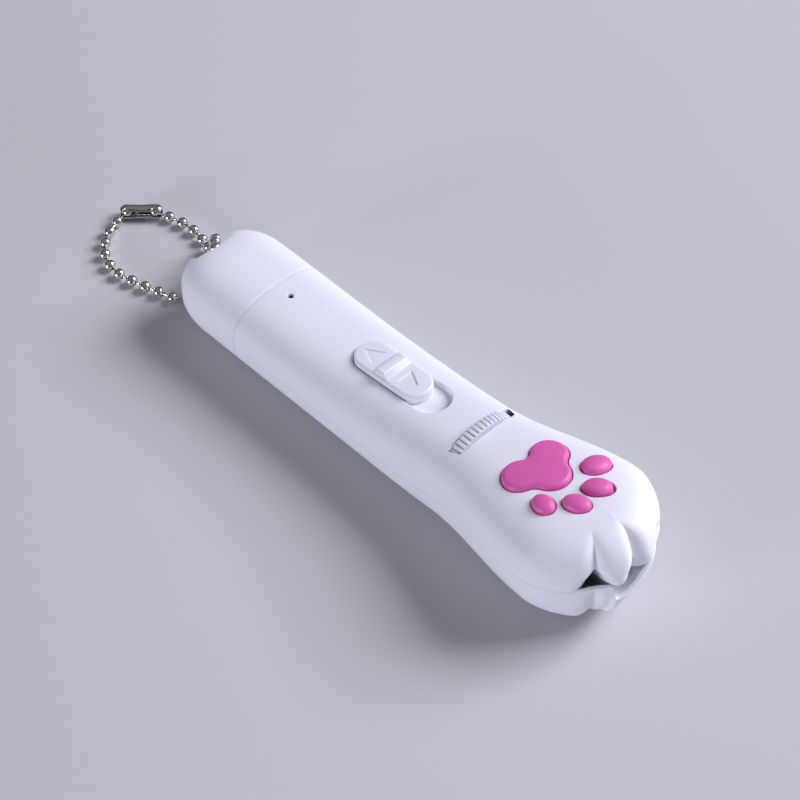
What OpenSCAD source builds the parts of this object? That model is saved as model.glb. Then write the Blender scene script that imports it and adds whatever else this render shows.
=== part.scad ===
// Cat laser pointer shaped as a paw: a rechargeable hand light with a pull-off plug cap on a ball
// chain, a slide switch, a pattern thumbwheel and soft pads. Millimetres, +X to the toes, +Z up.

/* [Casing] */
// Length from the end of the cap to the toes
body_l = 126.2; // [120:0.2:136]
// Width of the handle
handle_w = 25; // [24.5:0.5:28]
// Height of the handle
handle_h = 18.2; // [17.8:0.1:20]
// Width across the toes
paw_w = 34.4; // [33:0.2:38]
// Wall thickness of the shells
wall = 1.6; // [1.4:0.1:1.8]
// Height of the parting line along the handle
part_low = 8.8; // [8.6:0.1:9.4]
// Rise of the parting line up to the toes
part_rise = 6.2; // [5.6:0.1:6.6]
// Distance from the toes to where the parting line starts to rise
part_run = 58.2; // [55:0.2:61]
// Length over which the parting line rises
part_len = 46; // [43:0.5:48]
// Rise of the back over its full curve
back_rise = 9; // [8.5:0.1:9.5]
// Distance from the toes to where the back starts to rise
back_run = 88.7; // [86:0.1:91]
// Length of the full curve of the back
back_len = 102.5; // [100:0.5:105]
// Length over which the handle flares out to the paw
flare_l = 30.3; // [27:0.1:33]
// Length of the rounded front of the paw
front_l = 15.9; // [14.7:0.1:17]
// Length of the rounded end of the cap
rear_l = 13.7; // [12.5:0.1:14.5]
// Depth of the two outer grooves between the toes, in the upper shell
groove_d = 4.8; // [3.6:0.1:5.2]
// Depth of the middle groove in the upper shell
mid_groove_d = 3.4; // [2.6:0.1:4.6]
// Depth of the same grooves in the lower shell
low_groove_d = 1; // [0.4:0.1:2]
// Wall thickness round the toes
toe_wall = 0.9; // [0.8:0.1:1.4]
// Turn of the outer grooves from the middle groove, seen from above, in degrees
groove_turn = 35; // [32:1:38]
// Gap at the parting line
part_gap = 0.1; // [0.05:0.01:0.2]

/* [Cap and chain] */
// Length of the cap
cap_l = 22.75; // [21.5:0.25:25]
// Length of the neck that holds the cap
neck_l = 3.2; // [2:0.1:4]
// Gap between the neck and the cap
neck_gap = 0.2; // [0.15:0.01:0.3]
// Width of the chain notch at its floor
notch_w = 8; // [7:0.1:9]
// Radius of the notch floor, seen from the side
notch_r = 12.5; // [12:0.5:16]
// Diameter of the chain pin
pin_d = 1.5; // [1.2:0.1:1.8]
// Diameter of a chain ball
ball_d = 2.4; // [2:0.1:2.4]
// Pitch of the chain balls
ball_pitch = 3.4; // [3.2:0.05:3.8]
// Gap between the chain and its pin
pin_gap = 0.25; // [0.15:0.05:0.4]
// Diameter of the chain clasp
clasp_d = 3.4; // [3.2:0.1:3.6]
// Length of the chain clasp
clasp_l = 9.2; // [8.5:0.1:10]

/* [Slide switch] */
// Distance from the toes to the thumb ridge
ridge_run = 68.6; // [66:0.1:71]
// Length of the slide button
button_l = 20.6; // [18:0.2:22]
// Width of the slide button
button_w = 7.8; // [7:0.1:8.4]
// Height of the slide button above the back
button_rise = 0.9; // [0.5:0.1:1.4]
// Height of the thumb ridge above the button
ridge_h = 1; // [0.6:0.1:1.4]
// Travel of the slide button
slide_travel = 5; // [3:0.1:5.5]
// Depth of the slide recess
recess_d = 1.5; // [1.2:0.1:1.8]
// Gap round the slide button
slide_gap = 0.25; // [0.15:0.05:0.4]

/* [Thumbwheel] */
// Distance from the toes to the middle of the wheel
wheel_run = 43.5; // [42:0.1:45]
// Radius of the wheel
wheel_r = 10.5; // [9.8:0.1:10.8]
// Thickness of the wheel
wheel_t = 2.3; // [1.8:0.1:2.6]
// Height of the wheel above the back
wheel_rise = 1.5; // [1.2:0.1:2]
// Ribs round the wheel
wheel_ribs = 44; // [36:1:52]
// Depth of the grooves between the ribs
rib_d = 0.5; // [0.3:0.05:0.7]
// Half length of the wheel slot across the body
slot_half = 7.6; // [7.2:0.1:8]
// Gap between the wheel and its slot
wheel_gap = 0.22; // [0.15:0.01:0.35]
// Diameter of the wheel axle
axle_d = 2; // [1.6:0.1:2.4]
// Running gap round the axle
axle_gap = 0.04; // [0.02:0.01:0.08]

/* [Pads] */
// Height of the pads above the paw
pad_rise = 1.1; // [0.7:0.1:1.5]
// Depth of the pad pockets
pocket_d = 1; // [0.8:0.05:1.1]
// Gap round a pad in its pocket
pad_gap = 0.12; // [0.08:0.01:0.2]
// Distance from the toes to the rear lobes of the main pad
lobe_run = 28.5; // [27:0.1:30]
// Half distance between the rear lobes
lobe_half = 4; // [3.8:0.1:4.4]
// Radius of the rear lobes
lobe_r = 3.9; // [3.6:0.1:4.1]
// Distance from the rear lobes to the front lobe
lobe_step = 4.3; // [4:0.1:4.7]
// Radius of the front lobe
nose_r = 4.1; // [3.8:0.1:4.4]
// Radius of the hollow behind the main pad
notch_fillet = 2; // [1.6:0.1:2.4]
// Radius of the hollows beside the main pad
side_fillet = 3.5; // [3:0.1:5]
// Height of the toe pads above the paw
toe_rise = 1.5; // [1:0.1:1.8]
// Length of a toe pad
toe_l = 5.8; // [5.2:0.1:6.2]
// Width of a toe pad
toe_w = 4.7; // [4.2:0.1:5]
// Distance from the toes to the outer toe pads
outer_toe_run = 19.5; // [19:0.1:20]
// Half distance between the outer toe pads
outer_toe_half = 7.4; // [7.2:0.1:7.8]
// Turn of the outer toe pads, in degrees
outer_toe_turn = 30; // [20:1:45]
// Distance from the toes to the inner toe pads
inner_toe_run = 14.8; // [14.3:0.1:15.2]
// Half distance between the inner toe pads
inner_toe_half = 2.9; // [2.8:0.1:3.2]
// Turn of the inner toe pads, in degrees
inner_toe_turn = 18; // [10:1:25]

/* [Lights] */
// Height of the laser beam above the axle
beam_rise = 4.4; // [4.2:0.1:4.6]
// Diameter of the laser barrel
barrel_d = 6; // [5:0.1:6.2]
// Length of the laser barrel
barrel_l = 16.4; // [14:0.2:16.4]
// Diameter of the side lamps
lamp_d = 3; // [2.6:0.1:3.2]
// Diameter of the hole that lets the beam out between the toes
beam_hole_d = 3; // [2.4:0.1:3.4]

/* [Electrics] */
// Width of the plug shell
plug_w = 12; // [11.9:0.05:12.1]
// Height of the plug shell
plug_h = 4.5; // [4.4:0.05:4.6]
// Length of plug outside the handle
plug_l = 14; // [12:0.25:14]
// Sheet thickness of the plug shell
plug_wall = 0.3; // [0.25:0.05:0.35]
// Thickness of the circuit board
board_t = 1; // [0.8:0.1:1.2]
// Width of the circuit board
board_w = 13; // [12.4:0.2:14]
// Length of the battery cell
cell_l = 28; // [20:1:30]
// Width of the battery cell
cell_w = 10; // [8:0.5:10]
// Height of the battery cell
cell_h = 5.4; // [4:0.1:5.8]
// Diameter of the charge light hole
pinhole_d = 1.2; // [1:0.1:1.6]
// Distance from the cap seam to the charge light hole
pinhole_run = 4.6; // [4:0.1:6]

/* [Hidden] */

// Smoothness of round faces
$fn = 48;
// Rows of facets from the parting line to the spine, closer together near the spine
rows = 10;
function row_turn(j) = 90*sin(90*j/rows);
// Columns of facets along the flank
flank_cols = 16;
// Columns of facets round the side of the paw and across half a toe, and their turn round the cap end
side_cols = 7;
toe_half_cols = 5;
cap_step = 7.5;
// Small overlap that keeps cuts clean
eps = 0.02;

// Shape of the sections: exponents of the superellipses above and below the parting line
upper_n = 2.7;
lower_n = 2.4;
// Exponents of the outline seen from above, at the toes and at the cap
front_n = 1.72;
rear_n = 2.65;
// Share of the rounded ends that the spine runs into
front_spine = 0.5;
rear_spine = 0.1;
// Depth that the flat underside takes off the round one
foot_cut = 0.4;
// Lean of the groove floors towards the middle of the paw, from the parting line up to the back
groove_lean = 2.2;
// Softness of the upper end of a groove, where it runs out into the back
groove_soft = 0.5;
// Heights, as shares of the section height, between which the grooves of the lower shell fade out
groove_fade = [0.75, 1.02];
// Share of a toe by which the inner side of a groove is wider, so that the wall keeps its thickness
groove_grow = 0.12;

front_x = body_l/2;
rear_x = -body_l/2;
front_c = front_x - front_l;
rear_c = rear_x + rear_l;
seam_x = rear_x + cap_l;
flare_x = front_c - flare_l;
back_x = front_x - back_run;
part_x = front_x - part_run;
wheel_x = front_x - wheel_run;
ridge_x = front_x - ridge_run;

function smooth(t) = let (c = min(1, max(0, t))) c*c*(3 - 2*c);
function back_z(x) = handle_h + back_rise*smooth((x - back_x)/back_len);
function part_z(x) = part_low + part_rise*smooth((x - part_x)/part_len);
function side_y(x) = handle_w/2 + (paw_w - handle_w)/2*smooth((x - flare_x)/flare_l);
// Height of the back over a point of the plan, for a surface that lies inset under the outer one
function top_z(x, y, inset = 0) =
    part_z(x) + (back_z(x) - inset - part_z(x))
    *pow(max(0, 1 - pow(abs(y)/(side_y(x) - inset), upper_n)), 1/upper_n);
// Height of the underside, before its flat is cut, in the same way
function low_z(x, y, inset = 0) =
    part_z(x) - (part_z(x) + foot_cut - inset)
    *pow(max(0, 1 - pow(abs(y)/(side_y(x) - inset), lower_n)), 1/lower_n);

// A column of the flank or of the cap: rim point and spine x
function flank_column(x, inset) = [[x, side_y(x) - inset], x];
function cap_column(a, inset) =
    let (x = rear_c - (rear_l - inset)*pow(sin(a), 2/rear_n),
         y = (handle_w/2 - inset)*pow(cos(a), 2/rear_n))
    [[x, y], rear_c + rear_spine*(x - rear_c)];
function flank_columns(inset) = concat(
    [flank_column(seam_x, inset)],
    [for (i = [0:flank_cols - 1]) flank_column(back_x + i*(front_c - back_x)/flank_cols, inset)]);
function cap_columns(inset) = concat(
    [flank_column(seam_x, inset)],
    [for (a = [0:cap_step:90]) cap_column(a, inset)]);

// A point of a column, at a turn v from the rim (0) to the spine (90)
function skin_point(col, v, n, z_rim, z_spine) =
    let (out = pow(cos(v), 2/n), up = pow(sin(v), 2/n), reach = col[0] - [col[1], 0])
    [col[1] + reach.x*out, reach.y*out, z_rim + (z_spine - z_rim)*up];
// Heights of the rim and of the spine of a half of the casing
function rim_z(x, is_top) = part_z(x) - (is_top ? 0 : part_gap);
function spine_z(x, inset, is_top) = is_top ? back_z(x) - inset : inset - foot_cut;
function half_point(col, j, inset, is_top) =
    skin_point(col, row_turn(j), is_top ? upper_n : lower_n,
               rim_z(col[1], is_top), spine_z(col[1], inset, is_top));

// Toes: columns that run from the middle of the paw at an angle phi to the X axis, seen from above
toe_span = 1.5*groove_turn;
toe_angles = concat(
    [for (i = [0:side_cols - 1]) 90 - i*(90 - toe_span)/side_cols],
    [for (i = [3*toe_half_cols:-1:0]) toe_span*i/(3*toe_half_cols)]);
// Share of the groove depth: 1 in a crease, 0 along the middle of a toe and beside the outer toes
function crease(phi, grow) =
    let (t = phi/groove_turn, d = max(0, abs(t - round(t)) - grow)/(1 - 2*grow))
    phi >= toe_span ? 0 : 1 - sin(180*d);
function toe_inset(phi, inset) =
    inset == 0 ? 0 : inset - (wall - toe_wall)*smooth((90 - phi)/(90 - toe_span));
// Turn on the outline of the point that lies at the angle phi and at a share of its reach
function outline_turn(phi, out, inset) =
    atan2(1, pow(tan(phi)*(front_l - inset)/(paw_w/2 - inset)*(front_spine + (1 - front_spine)*out)/out,
                 front_n/2));
function outline_point(phi, out, inset) =
    let (a = outline_turn(phi, out, inset))
    [(front_l - inset)*pow(sin(a), 2/front_n), (paw_w/2 - inset)*pow(cos(a), 2/front_n)];
// Depth of a point behind the face of the toes: the grooves of the upper shell have upright floors, and
// end where the round of the back comes in to them
function upper_dent(phi, up, from, inset) =
    let (deep = phi < groove_turn/2 ? mid_groove_d : groove_d,
         floor_r = norm(outline_point(phi, 1, inset)) - deep - groove_lean*up,
         over = max(0, from - floor_r))
    over*over/(over + groove_soft);
function lower_dent(up) = low_groove_d*(1 - smooth((up - groove_fade[0])/(groove_fade[1] - groove_fade[0])));
function toe_point(phi, j, skin, is_top) =
    let (n = is_top ? upper_n : lower_n, inset = toe_inset(phi, skin),
         out = pow(cos(row_turn(j)), 2/n), up = pow(sin(row_turn(j)), 2/n),
         reach = outline_point(phi, out, inset),
         spine_x = front_c + front_spine*reach.x,
         flat = [(front_spine + (1 - front_spine)*out)*reach.x, out*reach.y],
         dent = is_top ? upper_dent(phi, up, norm(flat), inset) : lower_dent(up),
         place = flat*(1 - crease(phi, skin == 0 ? 0 : groove_grow)*dent/norm(flat)),
         z_rim = rim_z(spine_x, is_top))
    [front_c + place.x, place.y, z_rim + (spine_z(spine_x, inset, is_top) - z_rim)*up];
// The middle of the paw, where all columns of the toes end
function paw_pole(inset, is_top) = [front_c, 0, spine_z(front_c, inset, is_top)];
function body_grid(inset, is_top) = concat(
    [for (c = flank_columns(inset)) [for (j = [0:rows]) half_point(c, j, inset, is_top)]],
    [for (phi = toe_angles) [for (j = [0:rows])
        j == rows ? paw_pole(inset, is_top) : toe_point(phi, j, inset, is_top)]]);
function mirror_y(points) = [for (p = points) [p.x, -p.y, p.z]];
// Both flanks of a half: the columns of one side, then the same columns mirrored back to the start
function both_sides(grid) = concat(grid, [for (i = [len(grid) - 2:-1:0]) mirror_y(grid[i])]);
function flat_list(lists) = [for (l = lists) for (p = l) p];
function quad(a, b, c, d) = [[a, b, c], [a, c, d]];

// One half of the casing: an outer and an inner skin joined at the rim and at the seam
module half_shell(is_top) {
    outer = body_grid(0, is_top);
    inner = body_grid(wall, is_top);
    last = 2*(len(outer) - 1);
    first_toe = flank_cols + 1;
    count = (last + 1)*(rows + 1);
    function spine_id(u) = u > last - first_toe ? last - u : min(u, first_toe);
    function id(u, j) = (j == rows ? spine_id(u) : u)*(rows + 1) + j;
    function in_id(u, j) = count + id(u, j);
    skin = [for (u = [0:last - 1]) for (j = [0:rows - 1]) each concat(
        quad(id(u, j), id(u, j + 1), id(u + 1, j + 1), id(u + 1, j)),
        quad(in_id(u, j), in_id(u + 1, j), in_id(u + 1, j + 1), in_id(u, j + 1)))];
    rim = [for (u = [0:last - 1]) each quad(id(u, 0), id(u + 1, 0), in_id(u + 1, 0), in_id(u, 0))];
    seam = [for (j = [0:rows - 1]) each concat(
        quad(id(0, j), in_id(0, j), in_id(0, j + 1), id(0, j + 1)),
        quad(id(last, j), id(last, j + 1), in_id(last, j + 1), in_id(last, j)))];
    faces = [for (f = concat(skin, rim, seam)) if (f[0] != f[1] && f[1] != f[2] && f[2] != f[0]) f];
    polyhedron(concat(flat_list(both_sides(outer)), flat_list(both_sides(inner))),
        is_top ? [for (f = faces) [f[2], f[1], f[0]]] : faces, convexity = 10);
}

// The outer form of the cap, closed by a flat face at the seam
module cap_form() {
    grid = [for (c = cap_columns(0)) concat(
        [for (j = [rows:-1:1]) skin_point(c, row_turn(j), lower_n, part_low, -foot_cut)],
        [for (j = [0:rows]) half_point(c, j, 0, true)])];
    ends = 2*rows;
    last = 2*(len(grid) - 1);
    function id(u, j) = ((j == 0 || j == ends) && u > last/2 ? last - u : u)*(ends + 1) + j;
    skin = [for (u = [0:last - 1]) for (j = [0:ends - 1])
        each quad(id(u, j), id(u, j + 1), id(u + 1, j + 1), id(u + 1, j))];
    seam = concat([for (j = [ends:-1:0]) id(0, j)], [for (j = [1:ends - 1]) id(last, j)]);
    polyhedron(flat_list(both_sides(grid)), concat(skin, [seam]), convexity = 10);
}

// Solids swept along X from an outline drawn in the YZ plane
module x_extrude(from, to) {
    translate([from, 0, 0]) rotate([90, 0, 90]) linear_extrude(to - from) children();
}

module x_rod(from, to, d, y, z) {
    translate([from, y, z]) rotate([0, 90, 0]) cylinder(h = to - from, d = d);
}

module rounded_rect(w, h, r) {
    square([w - 2*r, h], center = true);
    square([w, h - 2*r], center = true);
    for (sx = [-1, 1], sy = [-1, 1]) translate([sx*(w/2 - r), sy*(h/2 - r)]) circle(r);
}

module stadium(l, w) {
    square([l - w, w], center = true);
    for (s = [-1, 1]) translate([s*(l - w)/2, 0]) circle(d = w);
}

// Section of the handle, drawn inset from its outer form
section_turns = 48;
function section_point(a, inset) =
    let (n = sin(a) >= 0 ? upper_n : lower_n,
         half = sin(a) >= 0 ? handle_h - inset - part_low : part_low + foot_cut - inset)
    [(handle_w/2 - inset)*sign(cos(a))*pow(abs(cos(a)), 2/n),
     part_low + half*sign(sin(a))*pow(abs(sin(a)), 2/n)];
module handle_section(inset) {
    polygon([for (i = [0:section_turns - 1]) section_point(360*i/section_turns, inset)]);
}

// Neck and bulkhead at the end of the handle, which carry the plug and hold the cap
bulkhead_t = 1.8;
flange_in = 0.2;
neck_in = wall + neck_gap;
module neck(is_top) {
    intersection() {
        union() {
            x_extrude(seam_x - neck_l, seam_x + bulkhead_t) handle_section(neck_in);
            x_extrude(seam_x + flange_in, seam_x + bulkhead_t) handle_section(wall/2);
        }
        translate([seam_x - body_l/2, -handle_w, is_top ? part_low : part_low - part_gap - handle_h])
            cube([body_l, 2*handle_w, handle_h]);
    }
}

plug_gap = 0.1;
module plug_opening() {
    x_extrude(seam_x - neck_l - eps, seam_x + bulkhead_t + eps)
        translate([0, part_low]) square([plug_w + 2*plug_gap, plug_h + 2*plug_gap], center = true);
}

// Slide: the recess follows the slope of the back, so the button travels along that slope
ridge_share = 0.48;
button_rear_run = button_l*ridge_share;
recess_l = button_l + slide_travel + 2*slide_gap;
recess_w = button_w + 2*slide_gap;
recess_rear = ridge_x - button_rear_run - slide_gap;
recess_x = recess_rear + recess_l/2;
slide_tilt = atan2(back_z(recess_rear + recess_l) - back_z(recess_rear), recess_l);
slide_z = (back_z(recess_rear + recess_l) + back_z(recess_rear))/2;
bed_t = 1.4;
bed_margin = 1.4;
bed_sink_share = 0.6;
bed_sink = bed_sink_share*wall;
pad_bed_rise = 0.2;
stem_w = 2.6;
stem_l = 3;
foot_w = 4.6;
foot_t = 0.8;
foot_gap = 0.2;
// Position of the stem from the middle of the recess, at rest
stem_x = ridge_x - recess_x;
module on_slide() {
    translate([recess_x, 0, slide_z]) rotate([0, -slide_tilt, 0]) children();
}

module slide_bed() {
    on_slide() translate([0, 0, -recess_d - bed_t])
        linear_extrude(bed_t + recess_d - bed_sink)
        stadium(recess_l + 2*bed_margin, recess_w + 2*bed_margin);
}

module slide_cuts() {
    on_slide() translate([0, 0, -recess_d]) linear_extrude(3*recess_d) stadium(recess_l, recess_w);
    on_slide() translate([stem_x + slide_travel/2, 0, -recess_d - bed_t - wall])
        linear_extrude(bed_t + 2*wall)
        square([stem_l + slide_travel + 2*slide_gap, stem_w + 2*slide_gap], center = true);
}

// Thumbwheel: its height follows the back above it
wheel_z = back_z(wheel_x) + wheel_rise - wheel_r;
beam_z = wheel_z + beam_rise;
slot_t = wheel_t + 2*wheel_gap;
module wheel_relief() {
    x_rod(wheel_x - slot_t/2, wheel_x + slot_t/2, 2*(wheel_r + wheel_gap), 0, wheel_z);
}

module wheel_slot() {
    translate([wheel_x - slot_t/2, -slot_half, wheel_z])
        cube([slot_t, 2*slot_half, wheel_r + wheel_rise]);
    wheel_relief();
}

// Pads: each pocket lies on the slope of the paw
toe_places = [for (s = [-1, 1]) each [
    [front_x - outer_toe_run, s*outer_toe_half, s*outer_toe_turn],
    [front_x - inner_toe_run, s*inner_toe_half, s*inner_toe_turn]]];
pad_x = front_x - lobe_run;
crown_fall = 0.4;
main_pocket_d = pocket_d + crown_fall;
slope_step = 1;
function slope_x(x, y) = atan2(top_z(x + slope_step, y) - top_z(x - slope_step, y), 2*slope_step);
function slope_y(x, y) = atan2(top_z(x, y + slope_step) - top_z(x, y - slope_step), 2*slope_step);
module on_back(x, y) {
    translate([x, y, top_z(x, y)]) rotate([slope_y(x, y), 0, 0]) rotate([0, -slope_x(x, y), 0]) children();
}

function arc(centre, r, from, to, steps) =
    [for (i = [0:steps]) let (a = from + (to - from)*i/steps) centre + r*[cos(a), sin(a)]];
function bearing(from, to) = atan2(to.y - from.y, to.x - from.x);
// Outline of the main pad: three lobes joined by hollows, grown by an offset
nose_steps = 5;
hollow_steps = 4;
lobe_steps = 9;
notch_steps = 3;
least_step = 0.01;
function main_outline(grow) =
    let (rear = [0, lobe_half], nose = [lobe_step, 0], rr = lobe_r + grow, nr = nose_r + grow,
         sf = side_fillet - grow, nf = notch_fillet - grow,
         gap = norm(nose - rear), along = (nose - rear)/gap, across = [-along.y, along.x],
         a = (pow(rr + sf, 2) - pow(nr + sf, 2) + gap*gap)/(2*gap),
         hollow = rear + a*along + sqrt(pow(rr + sf, 2) - a*a)*across,
         back = [-sqrt(pow(rr + nf, 2) - pow(lobe_half, 2)), 0],
         side = concat(
            arc(nose, nr, 0, bearing(nose, hollow), nose_steps),
            arc(hollow, sf, bearing(hollow, nose) + 360, bearing(hollow, rear) + 360, hollow_steps),
            arc(rear, rr, bearing(rear, hollow), bearing(rear, back) + 360, lobe_steps),
            arc(back, nf, bearing(back, rear), 0, notch_steps)))
    concat([for (i = [0:len(side) - 2]) if (i == 0 || norm(side[i] - side[i - 1]) > least_step) side[i]],
           [side[len(side) - 1]],
           [for (i = [len(side) - 2:-1:1]) if (norm(side[i] - side[i + 1]) > least_step)
               [side[i].x, -side[i].y]]);
toe_cols = 20;
function toe_outline(grow) =
    [for (i = [0:toe_cols - 1]) let (a = 360*i/toe_cols) [(toe_l/2 + grow)*cos(a), (toe_w/2 + grow)*sin(a)]];

// Height of the back over the plane of the main pad's frame
function pad_sag(x, y) =
    let (tilt = slope_x(pad_x, 0))
    (top_z(pad_x + x*cos(tilt), y) - top_z(pad_x, 0) - x*sin(tilt))*cos(tilt);

// A pad: straight sides from the pocket floor, then a crown with soft edges
crown_rows = 5;
crown_n = 2.8;
module pad_form(outline, middle, depth, rise, sag) {
    cols = len(outline);
    sole = [for (p = outline) [p.x, p.y, -depth]];
    crown = [for (j = [0:crown_rows - 1]) let (v = 90*j/crown_rows) for (p = outline)
        let (q = middle + (p - middle)*pow(cos(v), 2/crown_n))
        [q.x, q.y, sag(q.x, q.y) + rise*pow(sin(v), 2/crown_n)]];
    top = (crown_rows + 1)*cols;
    sides = [for (j = [0:crown_rows - 1]) for (i = [0:cols - 1])
        each quad(j*cols + i, (j + 1)*cols + i, (j + 1)*cols + (i + 1)%cols, j*cols + (i + 1)%cols)];
    cap = [for (i = [0:cols - 1]) [crown_rows*cols + i, top, crown_rows*cols + (i + 1)%cols]];
    polyhedron(concat(sole, crown, [[middle.x, middle.y, sag(middle.x, middle.y) + rise]]),
        concat(sides, cap, [[for (i = [0:cols - 1]) i]]), convexity = 4);
}
flat_sag = function (x, y) 0;
back_sag = function (x, y) pad_sag(x, y);

module pad_bed() {
    on_back(pad_x, 0) translate([0, 0, -main_pocket_d - bed_t + pad_bed_rise])
        linear_extrude(bed_t) polygon(main_outline(bed_t));
}

module pad_pockets() {
    on_back(pad_x, 0) translate([0, 0, -main_pocket_d]) linear_extrude(3*main_pocket_d)
        polygon(main_outline(pad_gap));
    for (t = toe_places) on_back(t.x, t.y) rotate(t.z) translate([0, 0, -pocket_d])
        linear_extrude(3*pocket_d) polygon(toe_outline(pad_gap));
}

// Light: the outer lamps shine through the gaps that the grooves leave above the lower shell, and the
// beam through a hole in the middle groove
groove_y = outline_point(groove_turn, 1, 0).y;
front_part_z = part_low + part_rise;
module beam_hole() {
    x_rod(front_c, front_x, beam_hole_d, 0, beam_z);
}

// Locating posts between the shells, beside the wheel
post_run = 5.3;
post_x = wheel_x + post_run;
post_bite = 0.3;
post_y = 6.6;
post_d = 3.6;
dowel_d = 1.6;
dowel_l = 2.4;
dowel_gap = 0.05;
dowel_end = 0.4;
post_z = part_z(post_x);
module top_posts() {
    for (s = [-1, 1]) translate([post_x, s*post_y, post_z]) {
        cylinder(h = top_z(post_x, post_y, wall) + post_bite - post_z, d = post_d);
        translate([0, 0, -dowel_l]) cylinder(h = 2*dowel_l, d = dowel_d);
    }
}

module bottom_posts() {
    foot_z = low_z(post_x, post_y + post_d/2, wall/2);
    for (s = [-1, 1]) translate([post_x, s*post_y, foot_z])
        cylinder(h = post_z - part_gap - foot_z, d = post_d);
}

module dowel_holes() {
    for (s = [-1, 1]) translate([post_x, s*post_y, post_z - dowel_l - dowel_end])
        cylinder(h = dowel_l + dowel_end, d = dowel_d + 2*dowel_gap);
}

// Bearing ribs: the rear one carries the axle, the front ones the axle and the laser barrel
rib_t = 2;
rib_half = 4.6;
rib_cover = 2.4;
rib_sink = 0.6;
rib_root = wall - foot_cut - rib_sink;
rib_runs = [-6.2, 8.6, 21.6];
rib_places = [for (r = rib_runs) wheel_x + r];
module bearing_ribs() {
    for (i = [0:2]) x_extrude(rib_places[i], rib_places[i] + rib_t)
        translate([-rib_half, rib_root])
        square([2*rib_half, (i == 0 ? wheel_z + rib_cover : beam_z) - rib_root]);
}

barrel_gap = 0.05;
barrel_run = 7.2;
barrel_x = wheel_x + barrel_run;
module bearing_bores() {
    x_rod(rib_places[0] - eps, rib_places[2] + rib_t + eps, axle_d + 2*axle_gap, 0, wheel_z);
    x_rod(rib_places[1] - eps, rib_places[2] + rib_t + eps, barrel_d + 2*barrel_gap, 0, beam_z);
}

// Circuit board on two bosses, with the plug at its end and the switch at its front
board_z = part_low - board_t/2;
board_gap = 0.3;
board_lip = 8.4;
boss_run = 1.8;
boss_gap = 0.3;
board_rear = seam_x + bulkhead_t + board_gap;
cell_in = 0.5;
cell_front = board_rear + cell_in + cell_l;
boss_y = 4.8;
boss_d = 3.4;
// The bosses stand under the switch, and never behind the front of the cell
boss_x = max(ridge_x + boss_run, cell_front + boss_gap + boss_d/2);
board_front = boss_x + board_lip;
screw_d = 1.6;
screw_gap = 0.1;
pilot_l = 4;
module board_bosses() {
    for (s = [-1, 1]) translate([boss_x, s*boss_y, rib_root])
        cylinder(h = board_z - rib_root, d = boss_d);
}

module screw_holes(d, depth) {
    for (s = [-1, 1]) translate([boss_x, s*boss_y, board_z - depth - eps])
        cylinder(h = depth + board_t + 2*eps, d = d);
}

// Charge light: a lamp on the board and a clear pipe up to the hole in the back
pinhole_x = seam_x + pinhole_run;
pipe_gap = 0.05;
pipe_sink = 0.7;
module pinhole() {
    translate([pinhole_x, 0, part_low]) cylinder(h = handle_h, d = pinhole_d);
}

module top_shell() {
    color("whitesmoke") difference() {
        union() {
            half_shell(true);
            neck(true);
            slide_bed();
            pad_bed();
            top_posts();
        }
        slide_cuts();
        wheel_slot();
        pad_pockets();
        beam_hole();
        pinhole();
        plug_opening();
    }
}

module bottom_shell() {
    color("whitesmoke") difference() {
        union() {
            half_shell(false);
            neck(false);
            bottom_posts();
            bearing_ribs();
            board_bosses();
        }
        translate([-body_l, -paw_w, -handle_h]) cube([2*body_l, 2*paw_w, handle_h]);
        wheel_relief();
        dowel_holes();
        bearing_bores();
        screw_holes(screw_d, pilot_l);
        plug_opening();
    }
}

// Chain notch: a scoop across the end of the cap, flared towards its mouth
ring_r = 2.6;
pin_run = 2.5;
pin_x = rear_x + pin_run;
pin_z = part_low;
notch_floor = pin_x + ring_r + ball_d/2 + pin_gap;
notch_flare = 1.8;
mouth_x = rear_x - 1;
pin_l = 13.4;
pin_fit = 0.01;
module chain_notch() {
    intersection() {
        translate([notch_floor - notch_r, handle_w, pin_z]) rotate([90, 0, 0])
            cylinder(h = 2*handle_w, r = notch_r, $fn = 96);
        linear_extrude(4*handle_h, center = true) polygon([
            [notch_floor + eps, notch_w/2], [mouth_x, notch_w/2 + notch_flare],
            [mouth_x, -notch_w/2 - notch_flare], [notch_floor + eps, -notch_w/2]]);
    }
}

cap_floor = 1.3;
module rear_cap() {
    color("whitesmoke") difference() {
        cap_form();
        x_extrude(notch_floor + cap_floor, seam_x + eps) handle_section(wall);
        chain_notch();
        translate([pin_x, pin_l/2 + pin_fit, pin_z]) rotate([90, 0, 0])
            cylinder(h = pin_l + 2*pin_fit, d = pin_d);
        translate([-body_l, -paw_w, -handle_h]) cube([2*body_l, 2*paw_w, handle_h]);
    }
}

module chain_pin() {
    color("silver") translate([pin_x, pin_l/2, pin_z]) rotate([90, 0, 0]) cylinder(h = pin_l, d = pin_d);
}

// Route of the chain from one end of the clasp, round the pin, to the other end, as it lies; x is
// measured from the end of the cap
rest_z = ball_d/2;
clasp_z = clasp_d/2;
chain_route = [[-24.4, 6.4, clasp_z], [-20.8, 7.5, rest_z], [-15.5, 8.4, rest_z], [-11.1, 8, rest_z],
    [-7.8, 7, 2.4], [-5.1, 5.6, 5.2], [-2.7, 3.8, 8.4], [-0.1, 1.9, 11.2], [3.2, 0.5, 11.4],
    [5.1, -0.4, 8.6], [4.2, -1.4, 5.4], [2.3, -3, 3], [0.7, -5.6, 1.6], [-1.4, -8, rest_z],
    [-4.6, -9.1, rest_z], [-11.1, -11.1, rest_z], [-17.3, -12, rest_z], [-22.9, -9.7, rest_z],
    [-26.5, -5.2, rest_z], [-27.9, -1.8, rest_z], [-28.6, 2, clasp_z]];

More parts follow.
